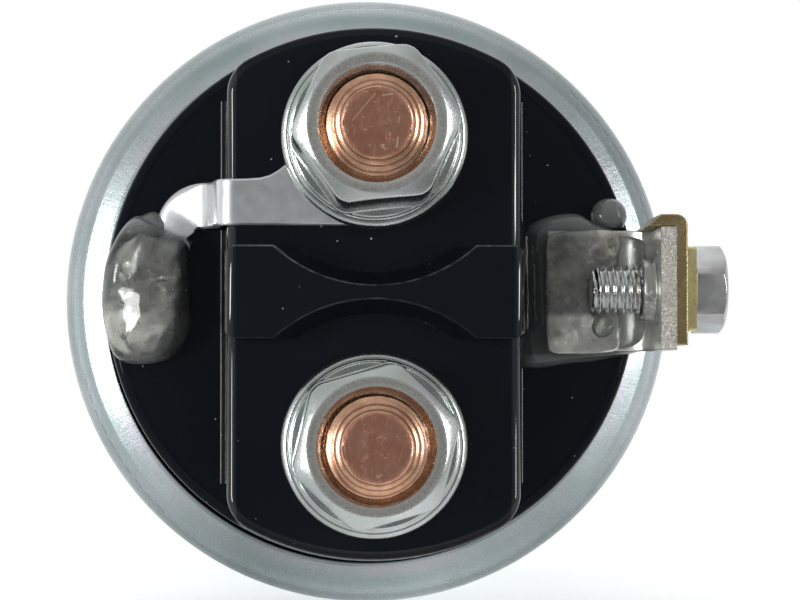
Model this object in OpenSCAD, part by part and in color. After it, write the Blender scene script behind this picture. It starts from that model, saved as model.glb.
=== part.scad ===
// Starter solenoid relay of a car starter motor, with its contacts, windings and plunger.
// While a piece is modelled, z runs along the relay from the mounting face to the terminals,
// x points right and y up as seen on the terminals. laid_down() then turns the relay so that
// the terminals face -Y and y becomes +Z. The origin is the centre of the mounting face.

/* [Housing] */
// Outside diameter of the drawn steel housing
housing_diameter = 66; // [64:0.5:72]
// Length from the mounting face to the corner of the rolled rim
housing_length = 74; // [70:0.5:84]
// Wall of the housing around the windings
housing_wall = 3; // [2:0.1:3.5]
// Thickness of the end plate with the mounting holes
end_plate = 8; // [6:0.5:10]
// Round on the outer edge of the end plate
end_round = 2; // [1:0.1:3]
// Wall of the rolled rim
rim_wall = 1.5; // [1.2:0.1:1.9]
// Outside radius of the rim's rolled corner
rim_corner = 2.4; // [2:0.1:3]
// Angle through which the rim is rolled over the cap
rim_roll = 65; // [55:1:72]
// Diameter of the opening that the rolled rim leaves
rim_opening = 57.2; // [56.9:0.1:58.4]
// Circle of the mounting holes
mount_circle = 50; // [46:0.5:54]
// Number of mounting holes
mount_count = 3; // [2:1:4]
// Tapping diameter of the mounting holes
mount_hole = 5; // [4.2:0.1:6.8]

/* [Cap] */
// Height of the cap's deck over the rim's corner
deck_rise = 18.8; // [16:0.1:24]
// Diameter of the cap at its deck
cap_diameter = 55.2; // [54.4:0.1:55.4]
// Growth of the cap's radius from the deck down to the rim
cap_draft = 0.6; // [0.2:0.1:0.7]
// Height of the raised terminal block over the deck
block_rise = 8.7; // [6:0.1:12]
// Width of the terminal block at its top
block_width = 29.8; // [27:0.1:32]
// Radius of the terminal block's curved ends at its top
block_reach = 27; // [26.4:0.1:27.1]
// Radius of the terminal block's corners seen from above
block_corner = 4; // [2:0.1:6]
// Round on the terminal block's top edge
edge_round = 0.9; // [0.4:0.1:1.2]
// Height of the barrier between the terminals over the block
barrier_rise = 4; // [2:0.1:6]
// Length of the barrier's two ends across the block
barrier_length = 9.2; // [7:0.1:12]
// Radius that the barrier leaves free around a nut, at the block
barrier_clear = 13.65; // [12.8:0.05:14.4]
// Widening of that free space up to the barrier's top
barrier_lean = 1.45; // [0.2:0.05:1.6]
// Round on the barrier's corners seen from above
barrier_corner = 1.6; // [0.5:0.1:2]
// Length of the raised pad that carries the right-hand terminal
pad_length = 11.4; // [9:0.1:11.8]
// Width of that pad
pad_width = 13.2; // [12.6:0.1:15]
// Height of that pad over the deck
pad_rise = 1.8; // [1:0.1:3]

/* [Main terminals] */
// Distance between the two terminal bolts
bolt_spacing = 31.5; // [30.5:0.1:33]
// Thread diameter of the terminal bolts
bolt_thread = 10; // [8:0.5:10.5]
// How far the bolts stand over the terminal block
bolt_reach = 12.8; // [12:0.1:18]
// Chamfer length at the bolt's end
bolt_chamfer = 1.5; // [0.5:0.1:2]
// Width across the nut's flats
nut_flats = 15; // [13:0.5:16]
// Width across the nut's rounded corners
nut_corners = 16.7; // [15.6:0.1:17.4]
// Height of a nut with its flange
nut_height = 9.5; // [7:0.1:10]
// Diameter of the nut's flange
nut_flange = 18.9; // [17.6:0.1:20]
// Height of the flange's edge
nut_edge = 0.9; // [0.5:0.1:1.5]
// Thickness of the contact head inside the cap
head_height = 5; // [3:0.1:6]

/* [Connector strap] */
// Thickness of the strap between the motor terminal and the winding
strap_wall = 1; // [0.6:0.1:1.4]
// Width of the strap's arm
strap_width = 4.8; // [4:0.1:6]
// Radius of the strap's eye under the nut
strap_eye = 9.2; // [8.6:0.1:10]
// Radius of the hollow run-in from the arm to the eye
strap_hollow = 2.5; // [1:0.1:4]
// Lean of the strap where it goes down beside the block
strap_lean = 15; // [12:1:20]
// Length of the strap's leg beyond its elbow
strap_leg = 9.4; // [7:0.1:11]
// Height of the solder that covers the leg
solder_rise = 4.6; // [3:0.1:6]

/* [Switch terminal] */
// Thickness of the angle bracket
bracket_wall = 1.6; // [1.2:0.1:2]
// Width of the angle bracket
bracket_width = 12.4; // [11:0.1:12.6]
// Distance from the relay's axis to the outer face of the upright tab
tab_reach = 30.2; // [29.6:0.1:31]
// Height of the upright tab over the pad
tab_rise = 11.4; // [10:0.1:14]
// Height of the clamp screw's axis over the deck
screw_rise = 7.2; // [7:0.1:7.6]
// How far the terminal sits above the relay's centre line
terminal_shift = 0.4; // [0:0.1:1]
// Thread diameter of the clamp screw
screw_thread = 5; // [4:0.5:5]
// Length of the clamp screw under its head
screw_length = 10.3; // [9:0.1:11]
// Pitch of the clamp screw's thread
screw_pitch = 0.8; // [0.7:0.05:1]
// Width across the flats of the clamp screw's head
screw_flats = 8; // [7:0.5:8.5]
// Height of the clamp screw's head
screw_head = 3.3; // [2.8:0.1:4]
// Thickness of the brass wire clamp
clamp_wall = 1.2; // [0.8:0.1:1.5]
// Length of the clamp's hook over the tab
clamp_hook = 3.8; // [3:0.1:4.4]
// Width of the square washer
washer_width = 8.5; // [8.5:0.1:10]
// Thickness of the square washer
washer_wall = 1; // [0.8:0.1:1.4]

/* [Contacts] */
// Travel of the contact disc until it closes the main circuit
contact_travel = 2.4; // [1.6:0.1:3]
// Travel of the contact rod, with the over-travel after contact
rod_travel = 2.9; // [2.9:0.1:3.4]
// Diameter of the contact rod
rod_diameter = 6; // [5:0.1:6.4]
// Diameter of the contact disc
disc_diameter = 28; // [26:0.5:29]
// Thickness of the contact disc
disc_wall = 2.5; // [2:0.1:3]
// Length of the contact return spring at rest
rod_spring_length = 11.9; // [11:0.1:12.4]

/* [Plunger] */
// Diameter of the plunger
plunger_diameter = 24; // [22:0.5:24.5]
// Travel of the plunger from rest to the fixed core
plunger_travel = 11.5; // [8:0.1:12]
// Gap left between plunger and core at the end of the travel
residual_gap = 0.1; // [0.05:0.01:0.2]
// Height of the cone at the plunger's inner end
cone_rise = 3; // [2:0.1:4]
// Diameter of the neck that carries the spring seat
neck_diameter = 20; // [18:0.5:20.5]
// Length of the neck beyond its circlip
neck_length = 4.8; // [3:0.1:8]
// Thickness of the tongue with the lever's eye
tongue_wall = 8; // [6:0.5:10]
// Width of the tongue
tongue_width = 16; // [14:0.5:18]
// Diameter of the lever's eye
eye_bore = 8; // [6:0.5:9]
// Distance from the neck's end to the eye
eye_reach = 8; // [8:0.1:12]

/* [Return spring] */
// Diameter of the return spring at the middle of its wire
spring_diameter = 30; // [29.6:0.1:31]
// Wire diameter of the return spring
spring_wire = 1.8; // [1.2:0.1:1.9]
// Length of the return spring at rest
spring_length = 24.3; // [23:0.1:30]
// Turns of the return spring
spring_turns = 6; // [4:1:7]

/* [Hidden] */
$fn = 72;

// Colours as the photograph shows them, and usual ones for the hidden pieces
zinc = [0.62, 0.65, 0.66];
black = [0.08, 0.10, 0.12];
copper = [0.76, 0.47, 0.33];
brass = [0.72, 0.62, 0.36];
tin = [0.55, 0.55, 0.52];
steel = [0.50, 0.51, 0.53];

// Clearances and overruns
overrun = 1;
fit_gap = 0.04;
slide_gap = 0.06;
rim_gap = 0.03;
thread_gap = 0.05;
bend_overlap = 1;

// Stack of pieces between the housing's ledge and the rolled rim
seat_depth = 10;
core_plate = 6;
gasket_wall = 1;
core_z = housing_length - seat_depth;
gasket_z = core_z + core_plate;
cap_z = gasket_z + gasket_wall;
deck_z = housing_length + deck_rise;
block_z = deck_z + block_rise;
barrier_z = block_z + barrier_rise;

// Radii of the housing
housing_r = housing_diameter / 2;
coil_room_r = housing_r - housing_wall;
seat_r = housing_r - rim_wall;
roll_r = housing_r - rim_corner;
roll_direction = [cos(rim_roll), sin(rim_roll)];
lip_direction = [-sin(rim_roll), cos(rim_roll)];

// Cap
deck_r = cap_diameter / 2;
cap_foot_r = deck_r + cap_draft;
cap_step = 0.05;
cap_flange_gap = 0.1;
cap_flange_r = seat_r - cap_flange_gap;
lip_inner = [roll_r, housing_length] + (rim_corner - rim_wall - rim_gap) * roll_direction;
cap_foot_z = lip_inner[1] + (lip_inner[0] - cap_foot_r) / sin(rim_roll) * cos(rim_roll);
deck_round = 1;
flange_bevel = 0.3;
block_half = block_width / 2;
corner_x = block_half - block_corner;
corner_y = sqrt((block_reach - block_corner) ^ 2 - corner_x ^ 2);
end_angle = atan2(corner_x, corner_y);
barrier_proud = 0.15;
barrier_side = 0.3;
barrier_foot = 0.45;
pad_corner = 1.6;
pad_root = 0.8;
pad_x = block_half + cap_draft + 0.4 * pad_root;
chamber_r = disc_diameter / 2 + 1.5 * overrun;
chamber_width = 18;
chamber_wall = 3.5;
bolt_seat = 11.5;
head_grip = 2;
head_z = block_z - bolt_seat;
chamber_z = head_z - head_grip;

// Main terminals
bolt_y = bolt_spacing / 2;
bolt_r = bolt_thread / 2;
bolt_tip = 3.4;
tip_share = 0.68;
head_width = 15;
head_length = 14;
nut_taper = 1.7;
nut_bevel = 30;
sink_share = 1.17;
sink_depth = 0.9;
motor_nut_turn = 6;
battery_nut_turn = 16.5;

// Connector strap
strap_top = block_z + strap_wall;
strap_y = bolt_y - strap_eye + strap_width / 2;
bend_inner = 1;
bend_outer = bend_inner + strap_wall;
bend_x = -block_half + 0.8 * bend_inner;
bend_z = block_z - bend_inner;
deck_top = deck_z + strap_wall;
low_bend_z = deck_top + bend_inner;
lean_end_z = low_bend_z - bend_inner * sin(strap_lean);
lean_start = [bend_x - bend_outer * cos(strap_lean), bend_z + bend_outer * sin(strap_lean)];
lean_length = (lean_start[1] - lean_end_z) / cos(strap_lean);
low_bend_x = lean_start[0] - lean_length * sin(strap_lean) - bend_inner * cos(strap_lean);
leg_left = low_bend_x - strap_width;
leg_y = strap_y - strap_width / 2;
solder_width = 9.4;
solder_length = 14.6;
solder_x = low_bend_x - strap_width / 2 - 1.9 * strap_wall;
solder_drop = 6.2;
solder_y = strap_y - strap_width / 2 - solder_drop;
solder_edge = 1.2;

// Switch terminal
pad_z = deck_z + pad_rise;
bracket_z = pad_z + bracket_wall;
bracket_bend = 0.8;
bracket_left = pad_x + 2.25;
tab_inner = tab_reach - bracket_wall;
tab_z = pad_z + tab_rise;
bend_centre = [tab_inner - bracket_bend, bracket_z + bracket_bend];
screw_z = deck_z + screw_rise;
screw_r = screw_thread / 2;
screw_hole = screw_r + thread_gap;
collar_length = 1.4;
collar_root = 3.5;
collar_tip = 2.95;
bracket_half = bracket_width / 2;
tab_top = terminal_shift + bracket_half;
tab_bottom = terminal_shift - bracket_half;
clamp_x = tab_reach;
clamp_face = clamp_x + clamp_wall;
clamp_width = 10.6;
clamp_drop = 5.7;
hook_gap = 0.05;
hook_y = tab_top + hook_gap;
washer_face = clamp_face + washer_wall;
washer_bevel = 0.3;
screw_turned = 8;
bolster_height = 1;
bolster_width = 10.4;
bolster_x = bracket_left + 0.5 * overrun;
bolster_length = bend_centre[0] - bolster_x - 2 * overrun;
bolster_round = 0.8;
drop_r = 1.9;
drop_back = 6;
drop_x = tab_reach - drop_back;
drop_y = terminal_shift + pad_width / 2 + drop_r + fit_gap;

// Leads from the windings
lead_r = 1;
lead_hole = lead_r + fit_gap;
lead_sleeve_r = 1.5;
left_lead = [low_bend_x - strap_width / 2, terminal_shift];
lead_gap = 2.6;
right_lead_x = bolster_x + bolster_length / 2;
lead_places = [
    left_lead,
    [right_lead_x, terminal_shift + lead_gap],
    [right_lead_x, terminal_shift - lead_gap]
];
lead_reach = norm([right_lead_x, terminal_shift + lead_gap]);
lead_stub = 1.2;
right_stub = 0.2;
lead_tops = [deck_top + lead_stub, bracket_z + right_stub, bracket_z + right_stub];

// Coil
plunger_r = plunger_diameter / 2;
sleeve_wall = 0.5;
sleeve_inner = plunger_r + slide_gap;
sleeve_outer = sleeve_inner + sleeve_wall;
bobbin_inner = sleeve_outer + fit_gap;
bobbin_wall = 1.2;
bobbin_flange = 1.5;
bobbin_edge_r = coil_room_r - 2 * fit_gap;
tape_wall = 0.6;
tape_outer = bobbin_edge_r - 0.8 * bobbin_wall;
tape_inner = tape_outer - tape_wall;
hold_in_outer = tape_inner - fit_gap;
paper_wall = 0.5;
pull_in_inner = bobbin_inner + bobbin_wall + fit_gap;
pull_in_share = 0.43;
winding_room = hold_in_outer - pull_in_inner - paper_wall - 2 * fit_gap;
pull_in_outer = pull_in_inner + pull_in_share * winding_room;
paper_inner = pull_in_outer + fit_gap;
paper_outer = paper_inner + paper_wall;
hold_in_inner = paper_outer + fit_gap;
winding_z = end_plate + bobbin_flange;
winding_length = core_z - bobbin_flange - winding_z;

// Plunger end of the housing
spring_r = spring_diameter / 2;
spring_wire_r = spring_wire / 2;
recess_depth = 1.5;
recess_r = spring_r + spring_wire_r + 0.7 * overrun;
sleeve_lip = 0.5;
sleeve_lip_r = sleeve_outer + 0.6 * sleeve_wall;

// Core, plunger and contacts along the axis
stem_length = 23;
stem_end_z = core_z - stem_length;
nose_r = 8;
cone_foot_r = 11;
stem_cone_z = stem_end_z + cone_rise;
plunger_nose_z = stem_cone_z - plunger_travel - residual_gap;
plunger_cone_z = plunger_nose_z - cone_rise;
rod_r = rod_diameter / 2;
rod_bottom = stem_cone_z - residual_gap - rod_travel;
core_bore = rod_r + slide_gap;
collar_wall = 1.5;
collar_r = 7;
collar_z = gasket_z + collar_wall;
insulator_wall = 1.5;
insulator_r = 7;
disc_top = head_z - head_height - contact_travel;
disc_z = disc_top - disc_wall;
insulator_z = disc_z - insulator_wall;
contact_spring_length = insulator_z - collar_z;
bush_r = 4.5;
upper_z = disc_top + insulator_wall;
clip_wall = 1;
clip_r = 5.6;
clip_z = upper_z + clip_wall;
groove_depth = 0.6;
rod_end = 3.9;
rod_top = clip_z + rod_end;
pocket_z = clip_z + rod_spring_length;
pocket_r = 5.9;
contact_spring_r = 5.3;
contact_wire_r = 0.5;
rod_spring_r = 4.7;
rod_wire_r = 0.45;
rod_bevel = 0.5;

// Spring seat and its circlip on the plunger's neck
neck_r = neck_diameter / 2;
seat_wall = 1.2;
seat_z = recess_depth - spring_length;
seat_outer = spring_r + spring_wire_r + 1.9 * overrun;
seat_lip = 2.5;
circlip_wall = 1.2;
circlip_depth = 1;
circlip_outer = neck_r + 2;
circlip_gap = 7;
circlip_z = seat_z - seat_wall;
groove_z = circlip_z - circlip_wall;
neck_end_z = groove_z - neck_length;
eye_z = neck_end_z - eye_reach;
neck_bevel = 0.8;

// Helical springs
coil_rings = 8;
coil_sides = 6;
end_pitch_share = 1.55;

// Turns a piece from its modelling directions to the relay's own
module laid_down() {
    rotate([90, 0, 0]) children();
}

// Draws a profile of distance from the axis and height, turned about z
module turned() {
    rotate_extrude() children();
}

module ring(inner, outer, bottom, top) {
    translate([0, 0, bottom])
        linear_extrude(top - bottom)
            difference() {
                circle(r = outer);
                circle(r = inner);
            }
}

module rod(radius, bottom, top) {
    translate([0, 0, bottom]) cylinder(r = radius, h = top - bottom);
}

// Bend between two flat stretches, turned a little into both so that they join
module bend(inner, outer, start, sweep) {
    ring_sector(inner, outer, start - bend_overlap, sweep + 2 * bend_overlap);
}

// Flat ring sector between two radii, from an angle and through a sweep under 180
module ring_sector(inner, outer, start, sweep) {
    reach = 2 * outer;
    middle = start + sweep / 2;
    intersection() {
        difference() {
            circle(r = outer);
            if (inner > 0) circle(r = inner);
        }
        polygon([
            [0, 0],
            reach * [cos(start), sin(start)],
            reach * [cos(middle), sin(middle)],
            reach * [cos(start + sweep), sin(start + sweep)]
        ]);
    }
}

// Flat rectangle with rounded corners, centred
module rounded_plate(length, width, corner) {
    square([length - 2 * corner, width], center = true);
    square([length, width - 2 * corner], center = true);
    for (x = [-1, 1], y = [-1, 1])
        translate([x * (length / 2 - corner), y * (width / 2 - corner)])
            circle(r = corner);
}

// Half section of a slab with a drafted side and a round top edge
module edge_profile(reach, foot, floor_z, top_z, round) {
    polygon([
        [0, floor_z],
        [foot, floor_z],
        [reach, top_z - round],
        [reach - round, top_z],
        [0, top_z]
    ]);
    translate([reach - round, top_z - round]) ring_sector(0, round, 0, 90);
}

// The same section on both sides, drawn along y
module drafted_bar(reach, foot, floor_z, top_z, round, length) {
    rotate([90, 0, 0])
        linear_extrude(length, center = true) {
            edge_profile(reach, foot, floor_z, top_z, round);
            mirror([1, 0]) edge_profile(reach, foot, floor_z, top_z, round);
        }
}

// Centre line of a spring: even turns with closer turns at both ends
function coil_height(turn, turns, pitch_end, pitch) =
    turn < 1 ? turn * pitch_end
    : turn > turns - 1 ? pitch_end + (turns - 2) * pitch + (turn - turns + 1) * pitch_end
    : pitch_end + (turn - 1) * pitch;

function coil_path(radius, wire_r, bottom, length, turns) =
    let (
        pitch_end = 2 * wire_r * end_pitch_share,
        pitch = (length - 2 * wire_r - 2 * pitch_end) / (turns - 2)
    )
    [
        for (i = [0 : turns * coil_rings])
            let (turn = i / coil_rings)
            [
                radius * cos(360 * turn),
                radius * sin(360 * turn),
                bottom + wire_r + coil_height(turn, turns, pitch_end, pitch)
            ]
    ];

function least_gap(path, wire_r) =
    min([
        for (i = [0 : len(path) - 1], j = [i + coil_rings / 2 : len(path) - 1])
            norm(path[i] - path[j])
    ]) - 2 * wire_r;

// One unbroken wire along a path around z
module coil(path, wire_r) {
    points = [
        for (p = path)
            let (outward = [p[0], p[1], 0] / norm([p[0], p[1]]))
            for (k = [0 : coil_sides - 1])
                let (angle = 360 * k / coil_sides)
                p + wire_r * (cos(angle) * outward + sin(angle) * [0, 0, 1])
    ];
    last = len(points) - coil_sides;
    walls = [
        for (i = [0 : len(path) - 2], k = [0 : coil_sides - 1])
            let (
                a = i * coil_sides + k,
                b = i * coil_sides + (k + 1) % coil_sides
            )
            each [
                [a, a + coil_sides, b],
                [b, a + coil_sides, b + coil_sides]
            ]
    ];
    ends = [
        for (k = [1 : coil_sides - 2])
            each [
                [0, k, k + 1],
                [last, last + k + 1, last + k]
            ]
    ];
    polyhedron(points, concat(walls, ends));
}

return_path = coil_path(spring_r, spring_wire_r, recess_depth - spring_length, spring_length, spring_turns);
contact_path = coil_path(contact_spring_r, contact_wire_r, collar_z, contact_spring_length, 4);
rod_path = coil_path(rod_spring_r, rod_wire_r, clip_z, rod_spring_length, 6);
echo(
    return_spring_gap = least_gap(return_path, spring_wire_r),
    contact_spring_gap = least_gap(contact_path, contact_wire_r),
    rod_spring_gap = least_gap(rod_path, rod_wire_r)
);

// Steel housing: drawn cup with its end plate, the ledge for the core and the rolled rim
module housing() {
    lip_start = [roll_r, housing_length] + rim_corner * roll_direction;
    color(zinc) laid_down()
        difference() {
            turned() {
                difference() {
                    square([housing_r, end_plate]);
                    square([bobbin_inner, end_plate]);
                    square([recess_r, recess_depth]);
                    translate([housing_r - end_round, 0]) square(end_round);
                }
                translate([housing_r - end_round, end_round]) circle(r = end_round);
                translate([coil_room_r, end_round])
                    square([housing_wall, core_z - end_round]);
                translate([seat_r, end_plate])
                    square([rim_wall, housing_length - end_plate]);
                translate([roll_r, housing_length])
                    bend(rim_corner - rim_wall, rim_corner, 0, rim_roll);
                intersection() {
                    translate(lip_start)
                        rotate(rim_roll + 90)
                            square([rim_corner * 3, rim_wall]);
                    translate([rim_opening / 2, housing_length])
                        square([housing_r, housing_r]);
                }
            }
            for (i = [0 : mount_count - 1])
                rotate(90 + 360 * i / mount_count)
                    translate([mount_circle / 2, 0, 0])
                        rod(mount_hole / 2, -overrun, end_plate + overrun);
        }
}

// Moulded cap: flange under the rim, deck, terminal block, barrier and the inner chamber
module cap() {
    color(black) laid_down()
        difference() {
            union() {
                turned() cap_body_profile();
                terminal_block();
                barrier();
                translate([pad_x + pad_length / 2 - pad_root, terminal_shift, deck_z - pad_rise])
                    linear_extrude(2 * pad_rise)
                        rounded_plate(pad_length + 2 * pad_root, pad_width, pad_corner);
            }
            chamber();
            for (side = [-1, 1])
                translate([0, side * bolt_y, 0])
                    rod(bolt_r + thread_gap, head_z - overrun, barrier_z);
            for (place = lead_places)
                translate([place[0], place[1], 0])
                    rod(lead_hole, cap_z - overrun, barrier_z);
        }
}

module cap_body_profile() {
    polygon([
        [0, cap_z],
        [cap_flange_r, cap_z],
        [cap_flange_r, housing_length - flange_bevel],
        lip_inner,
        [cap_foot_r, cap_foot_z],
        [deck_r, deck_z - deck_round],
        [deck_r - deck_round, deck_z],
        [0, deck_z]
    ]);
    translate([deck_r - deck_round, deck_z - deck_round]) circle(r = deck_round);
}

// Raised block: straight drafted sides, ends on a circle and four round corners
module terminal_block() {
    floor_z = deck_z - deck_round;
    foot = cap_draft - cap_step;
    drafted_bar(block_half, block_half + foot, floor_z, block_z, edge_round, 2 * corner_y);
    for (x = [0, 1], y = [0, 1])
        mirror([x, 0, 0]) mirror([0, y, 0])
            rotate(90 - end_angle) {
                rotate_extrude(angle = end_angle + bend_overlap)
                    edge_profile(block_reach, block_reach + foot, floor_z, block_z, edge_round);
                translate([block_reach - block_corner, 0, 0])
                    turned()
                        edge_profile(block_corner, block_corner + foot, floor_z, block_z, edge_round);
            }
}

// Barrier between the bolts, waisted by the free space around the nuts
module barrier() {
    reach = block_half + barrier_proud;
    foot = block_half + cap_draft + barrier_foot;
    difference() {
        intersection() {
            drafted_bar(reach, foot, deck_z - overrun, barrier_z, edge_round, barrier_length);
            translate([0, 0, deck_z - overrun])
                linear_extrude(barrier_z)
                    rounded_plate(2 * (reach + barrier_side), barrier_length, barrier_corner);
        }
        for (side = [-1, 1])
            translate([0, side * bolt_y, block_z])
                cylinder(
                    r1 = barrier_clear,
                    r2 = barrier_clear + 2 * barrier_lean,
                    h = 2 * barrier_rise
                );
    }
}

// Room for the contacts: round for the disc, longer for the heads, a pocket for the spring
module chamber() {
    heads = bolt_y + head_length / 2 + overrun;
    rod(chamber_r, cap_z - overrun, chamber_z);
    translate([-chamber_width / 2, -heads, cap_z - overrun])
        cube([chamber_width, 2 * heads, chamber_z - cap_z + overrun]);
    for (side = [-1, 1])
        translate([0, side * bolt_y, chamber_z - overrun])
            linear_extrude(head_grip + overrun)
                square([head_width, head_length] + 2 * fit_gap * [1, 1], center = true);
    rod(pocket_r, chamber_z - overrun, pocket_z);
}

// Rubber gasket between core and cap
module gasket() {
    color([0.12, 0.12, 0.12]) laid_down()
        ring(lead_reach + lead_sleeve_r + gasket_wall, cap_flange_r, gasket_z, cap_z);
}

// Steel core: plate on the housing's ledge and stem with its hollow cone
module fixed_core() {
    color(steel) laid_down()
        difference() {
            turned()
                polygon([
                    [core_bore, stem_cone_z],
                    [nose_r, stem_cone_z],
                    [cone_foot_r, stem_end_z],
                    [plunger_r, stem_end_z],
                    [plunger_r, core_z],
                    [seat_r - fit_gap, core_z],
                    [seat_r - fit_gap, gasket_z],
                    [core_bore, gasket_z]
                ]);
            for (place = lead_places)
                translate([place[0], place[1], 0])
                    rod(lead_sleeve_r + fit_gap, core_z - overrun, gasket_z + overrun);
        }
}

// Brass sleeve that guides the plunger
module plunger_sleeve() {
    color(brass) laid_down() {
        ring(sleeve_inner, sleeve_outer, recess_depth - sleeve_lip, core_z);
        ring(sleeve_inner, sleeve_lip_r, recess_depth - sleeve_lip, recess_depth);
    }
}

// Bobbin with its two flanges
module bobbin() {
    color([0.85, 0.82, 0.72]) laid_down()
        difference() {
            union() {
                rod(bobbin_inner + bobbin_wall, end_plate, core_z);
                rod(bobbin_edge_r, end_plate, winding_z);
                rod(bobbin_edge_r, core_z - bobbin_flange, core_z);
            }
            rod(bobbin_inner, end_plate - overrun, core_z + overrun);
            for (place = lead_places)
                translate([place[0], place[1], 0])
                    rod(lead_sleeve_r + fit_gap, core_z - bobbin_flange - fit_gap, core_z + overrun);
        }
}

module pull_in_winding() {
    color(copper) laid_down()
        ring(pull_in_inner, pull_in_outer, winding_z, winding_z + winding_length);
}

module winding_paper() {
    color([0.80, 0.72, 0.52]) laid_down()
        ring(paper_inner, paper_outer, winding_z, winding_z + winding_length);
}

module hold_in_winding() {
    color(copper) laid_down()
        ring(hold_in_inner, hold_in_outer, winding_z, winding_z + winding_length);
}

module winding_tape() {
    color([0.75, 0.70, 0.58]) laid_down()
        ring(tape_inner, tape_outer, winding_z, winding_z + winding_length);
}

// Winding ends that come up to the strap and to the bracket
module winding_leads() {
    color(copper) laid_down()
        for (i = [0 : len(lead_places) - 1])
            translate([lead_places[i][0], lead_places[i][1], 0])
                rod(lead_r, winding_z + winding_length, lead_tops[i]);
}

module lead_sleeves() {
    color([0.88, 0.86, 0.80]) laid_down()
        for (place = lead_places)
            translate([place[0], place[1], 0])
                ring(lead_hole, lead_sleeve_r, winding_z + winding_length, cap_z);
}

// Copper bolt: rectangular contact head inside the cap, shank and chamfered end
module terminal_bolt() {
    tip = bolt_r * tip_share;
    end = block_z + bolt_reach;
    translate([0, 0, head_z - head_height])
        linear_extrude(head_height)
            square([head_width, head_length], center = true);
    turned()
        polygon([
            [0, head_z - fit_gap],
            [bolt_r, head_z - fit_gap],
            [bolt_r, end - bolt_chamfer],
            [tip, end],
            [0, end]
        ]);
}

module battery_bolt() {
    color(copper) laid_down() translate([0, -bolt_y, 0]) terminal_bolt();
}

module motor_bolt() {
    color(copper) laid_down() translate([0, bolt_y, 0]) terminal_bolt();
}

// Flange nut: hexagon with bevelled corners on a tapered flange
module flange_nut(turn) {
    flange_r = nut_flange / 2;
    corner_r = nut_corners / 2;
    bevel = (corner_r - nut_flats / 2) * tan(nut_bevel);
    sink_r = bolt_r * sink_share;
    difference() {
        union() {
            turned()
                polygon([
                    [0, 0],
                    [flange_r, 0],
                    [flange_r, nut_edge],
                    [nut_flats / 2, nut_edge + nut_taper],
                    [0, nut_edge + nut_taper]
                ]);
            intersection() {
                rotate(turn)
                    cylinder(r = nut_flats / 2 / cos(30), h = nut_height, $fn = 6);
                turned()
                    polygon([
                        [0, 0],
                        [corner_r, 0],
                        [corner_r, nut_height - bevel],
                        [nut_flats / 2, nut_height],
                        [0, nut_height]
                    ]);
            }
        }
        rod(bolt_r + thread_gap, -overrun, nut_height + overrun);
        translate([0, 0, nut_height - sink_depth])
            cylinder(
                r1 = bolt_r,
                r2 = sink_r + (sink_r - bolt_r) * overrun / sink_depth,
                h = sink_depth + overrun
            );
    }
}

module terminal_nuts() {
    color(zinc) laid_down() {
        translate([0, bolt_y, strap_top]) flange_nut(motor_nut_turn);
        translate([0, -bolt_y, block_z]) flange_nut(battery_nut_turn);
    }
}

// Tinned strap: eye, arm with its hollow run-in, bend down beside the block, elbow and leg
module motor_strap() {
    color(tin) laid_down() {
        translate([0, 0, block_z]) linear_extrude(strap_wall) strap_eye_outline();
        translate([0, strap_y, 0])
            rotate([90, 0, 0])
                linear_extrude(strap_width, center = true) strap_drop_profile();
        difference() {
            translate([0, 0, deck_z]) linear_extrude(strap_wall) strap_elbow_outline();
            translate([left_lead[0], left_lead[1], 0])
                rod(lead_hole, deck_z - overrun, deck_top + overrun);
        }
    }
}

module strap_eye_outline() {
    arm_top = strap_y + strap_width / 2;
    hollow_y = arm_top + strap_hollow;
    hollow_x = -sqrt((strap_eye + strap_hollow) ^ 2 - (bolt_y - hollow_y) ^ 2);
    difference() {
        union() {
            translate([0, bolt_y]) circle(r = strap_eye);
            translate([bend_x, arm_top - strap_width]) square([-bend_x, strap_width]);
            translate([hollow_x, strap_y]) square([-hollow_x, hollow_y - strap_y]);
        }
        translate([hollow_x, hollow_y]) circle(r = strap_hollow);
        translate([0, bolt_y]) circle(r = bolt_r + thread_gap);
    }
}

module strap_drop_profile() {
    translate([bend_x, bend_z])
        bend(bend_inner, bend_outer, 90, 90 - strap_lean);
    translate(lean_start)
        rotate(-90 - strap_lean)
            square([lean_length, strap_wall]);
    translate([low_bend_x, low_bend_z])
        bend(bend_inner, bend_outer, -90, 90 - strap_lean);
}

module strap_elbow_outline() {
    translate([low_bend_x, leg_y]) ring_sector(0, strap_width, 90, 90);
    translate([leg_left, leg_y - strap_leg]) square([strap_width, strap_leg]);
}

// Solder over the strap's leg and the winding end
module strap_solder() {
    half = solder_width / 2;
    straight = solder_length - solder_width;
    color(tin) laid_down()
        difference() {
            translate([solder_x, solder_y, deck_z]) {
                for (side = [-1, 1])
                    translate([0, side * straight / 2, 0])
                        turned() edge_profile(half, half, 0, solder_rise, solder_edge + half / 2);
                rotate([90, 0, 0])
                    linear_extrude(straight, center = true)
                        for (side = [0, 1])
                            mirror([side, 0])
                                edge_profile(half, half, 0, solder_rise, solder_edge + half / 2);
            }
            translate([0, 0, deck_z]) linear_extrude(strap_wall) strap_elbow_outline();
            translate([left_lead[0], left_lead[1], 0])
                rod(lead_r, deck_z - overrun, lead_tops[0]);
        }
}

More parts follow.
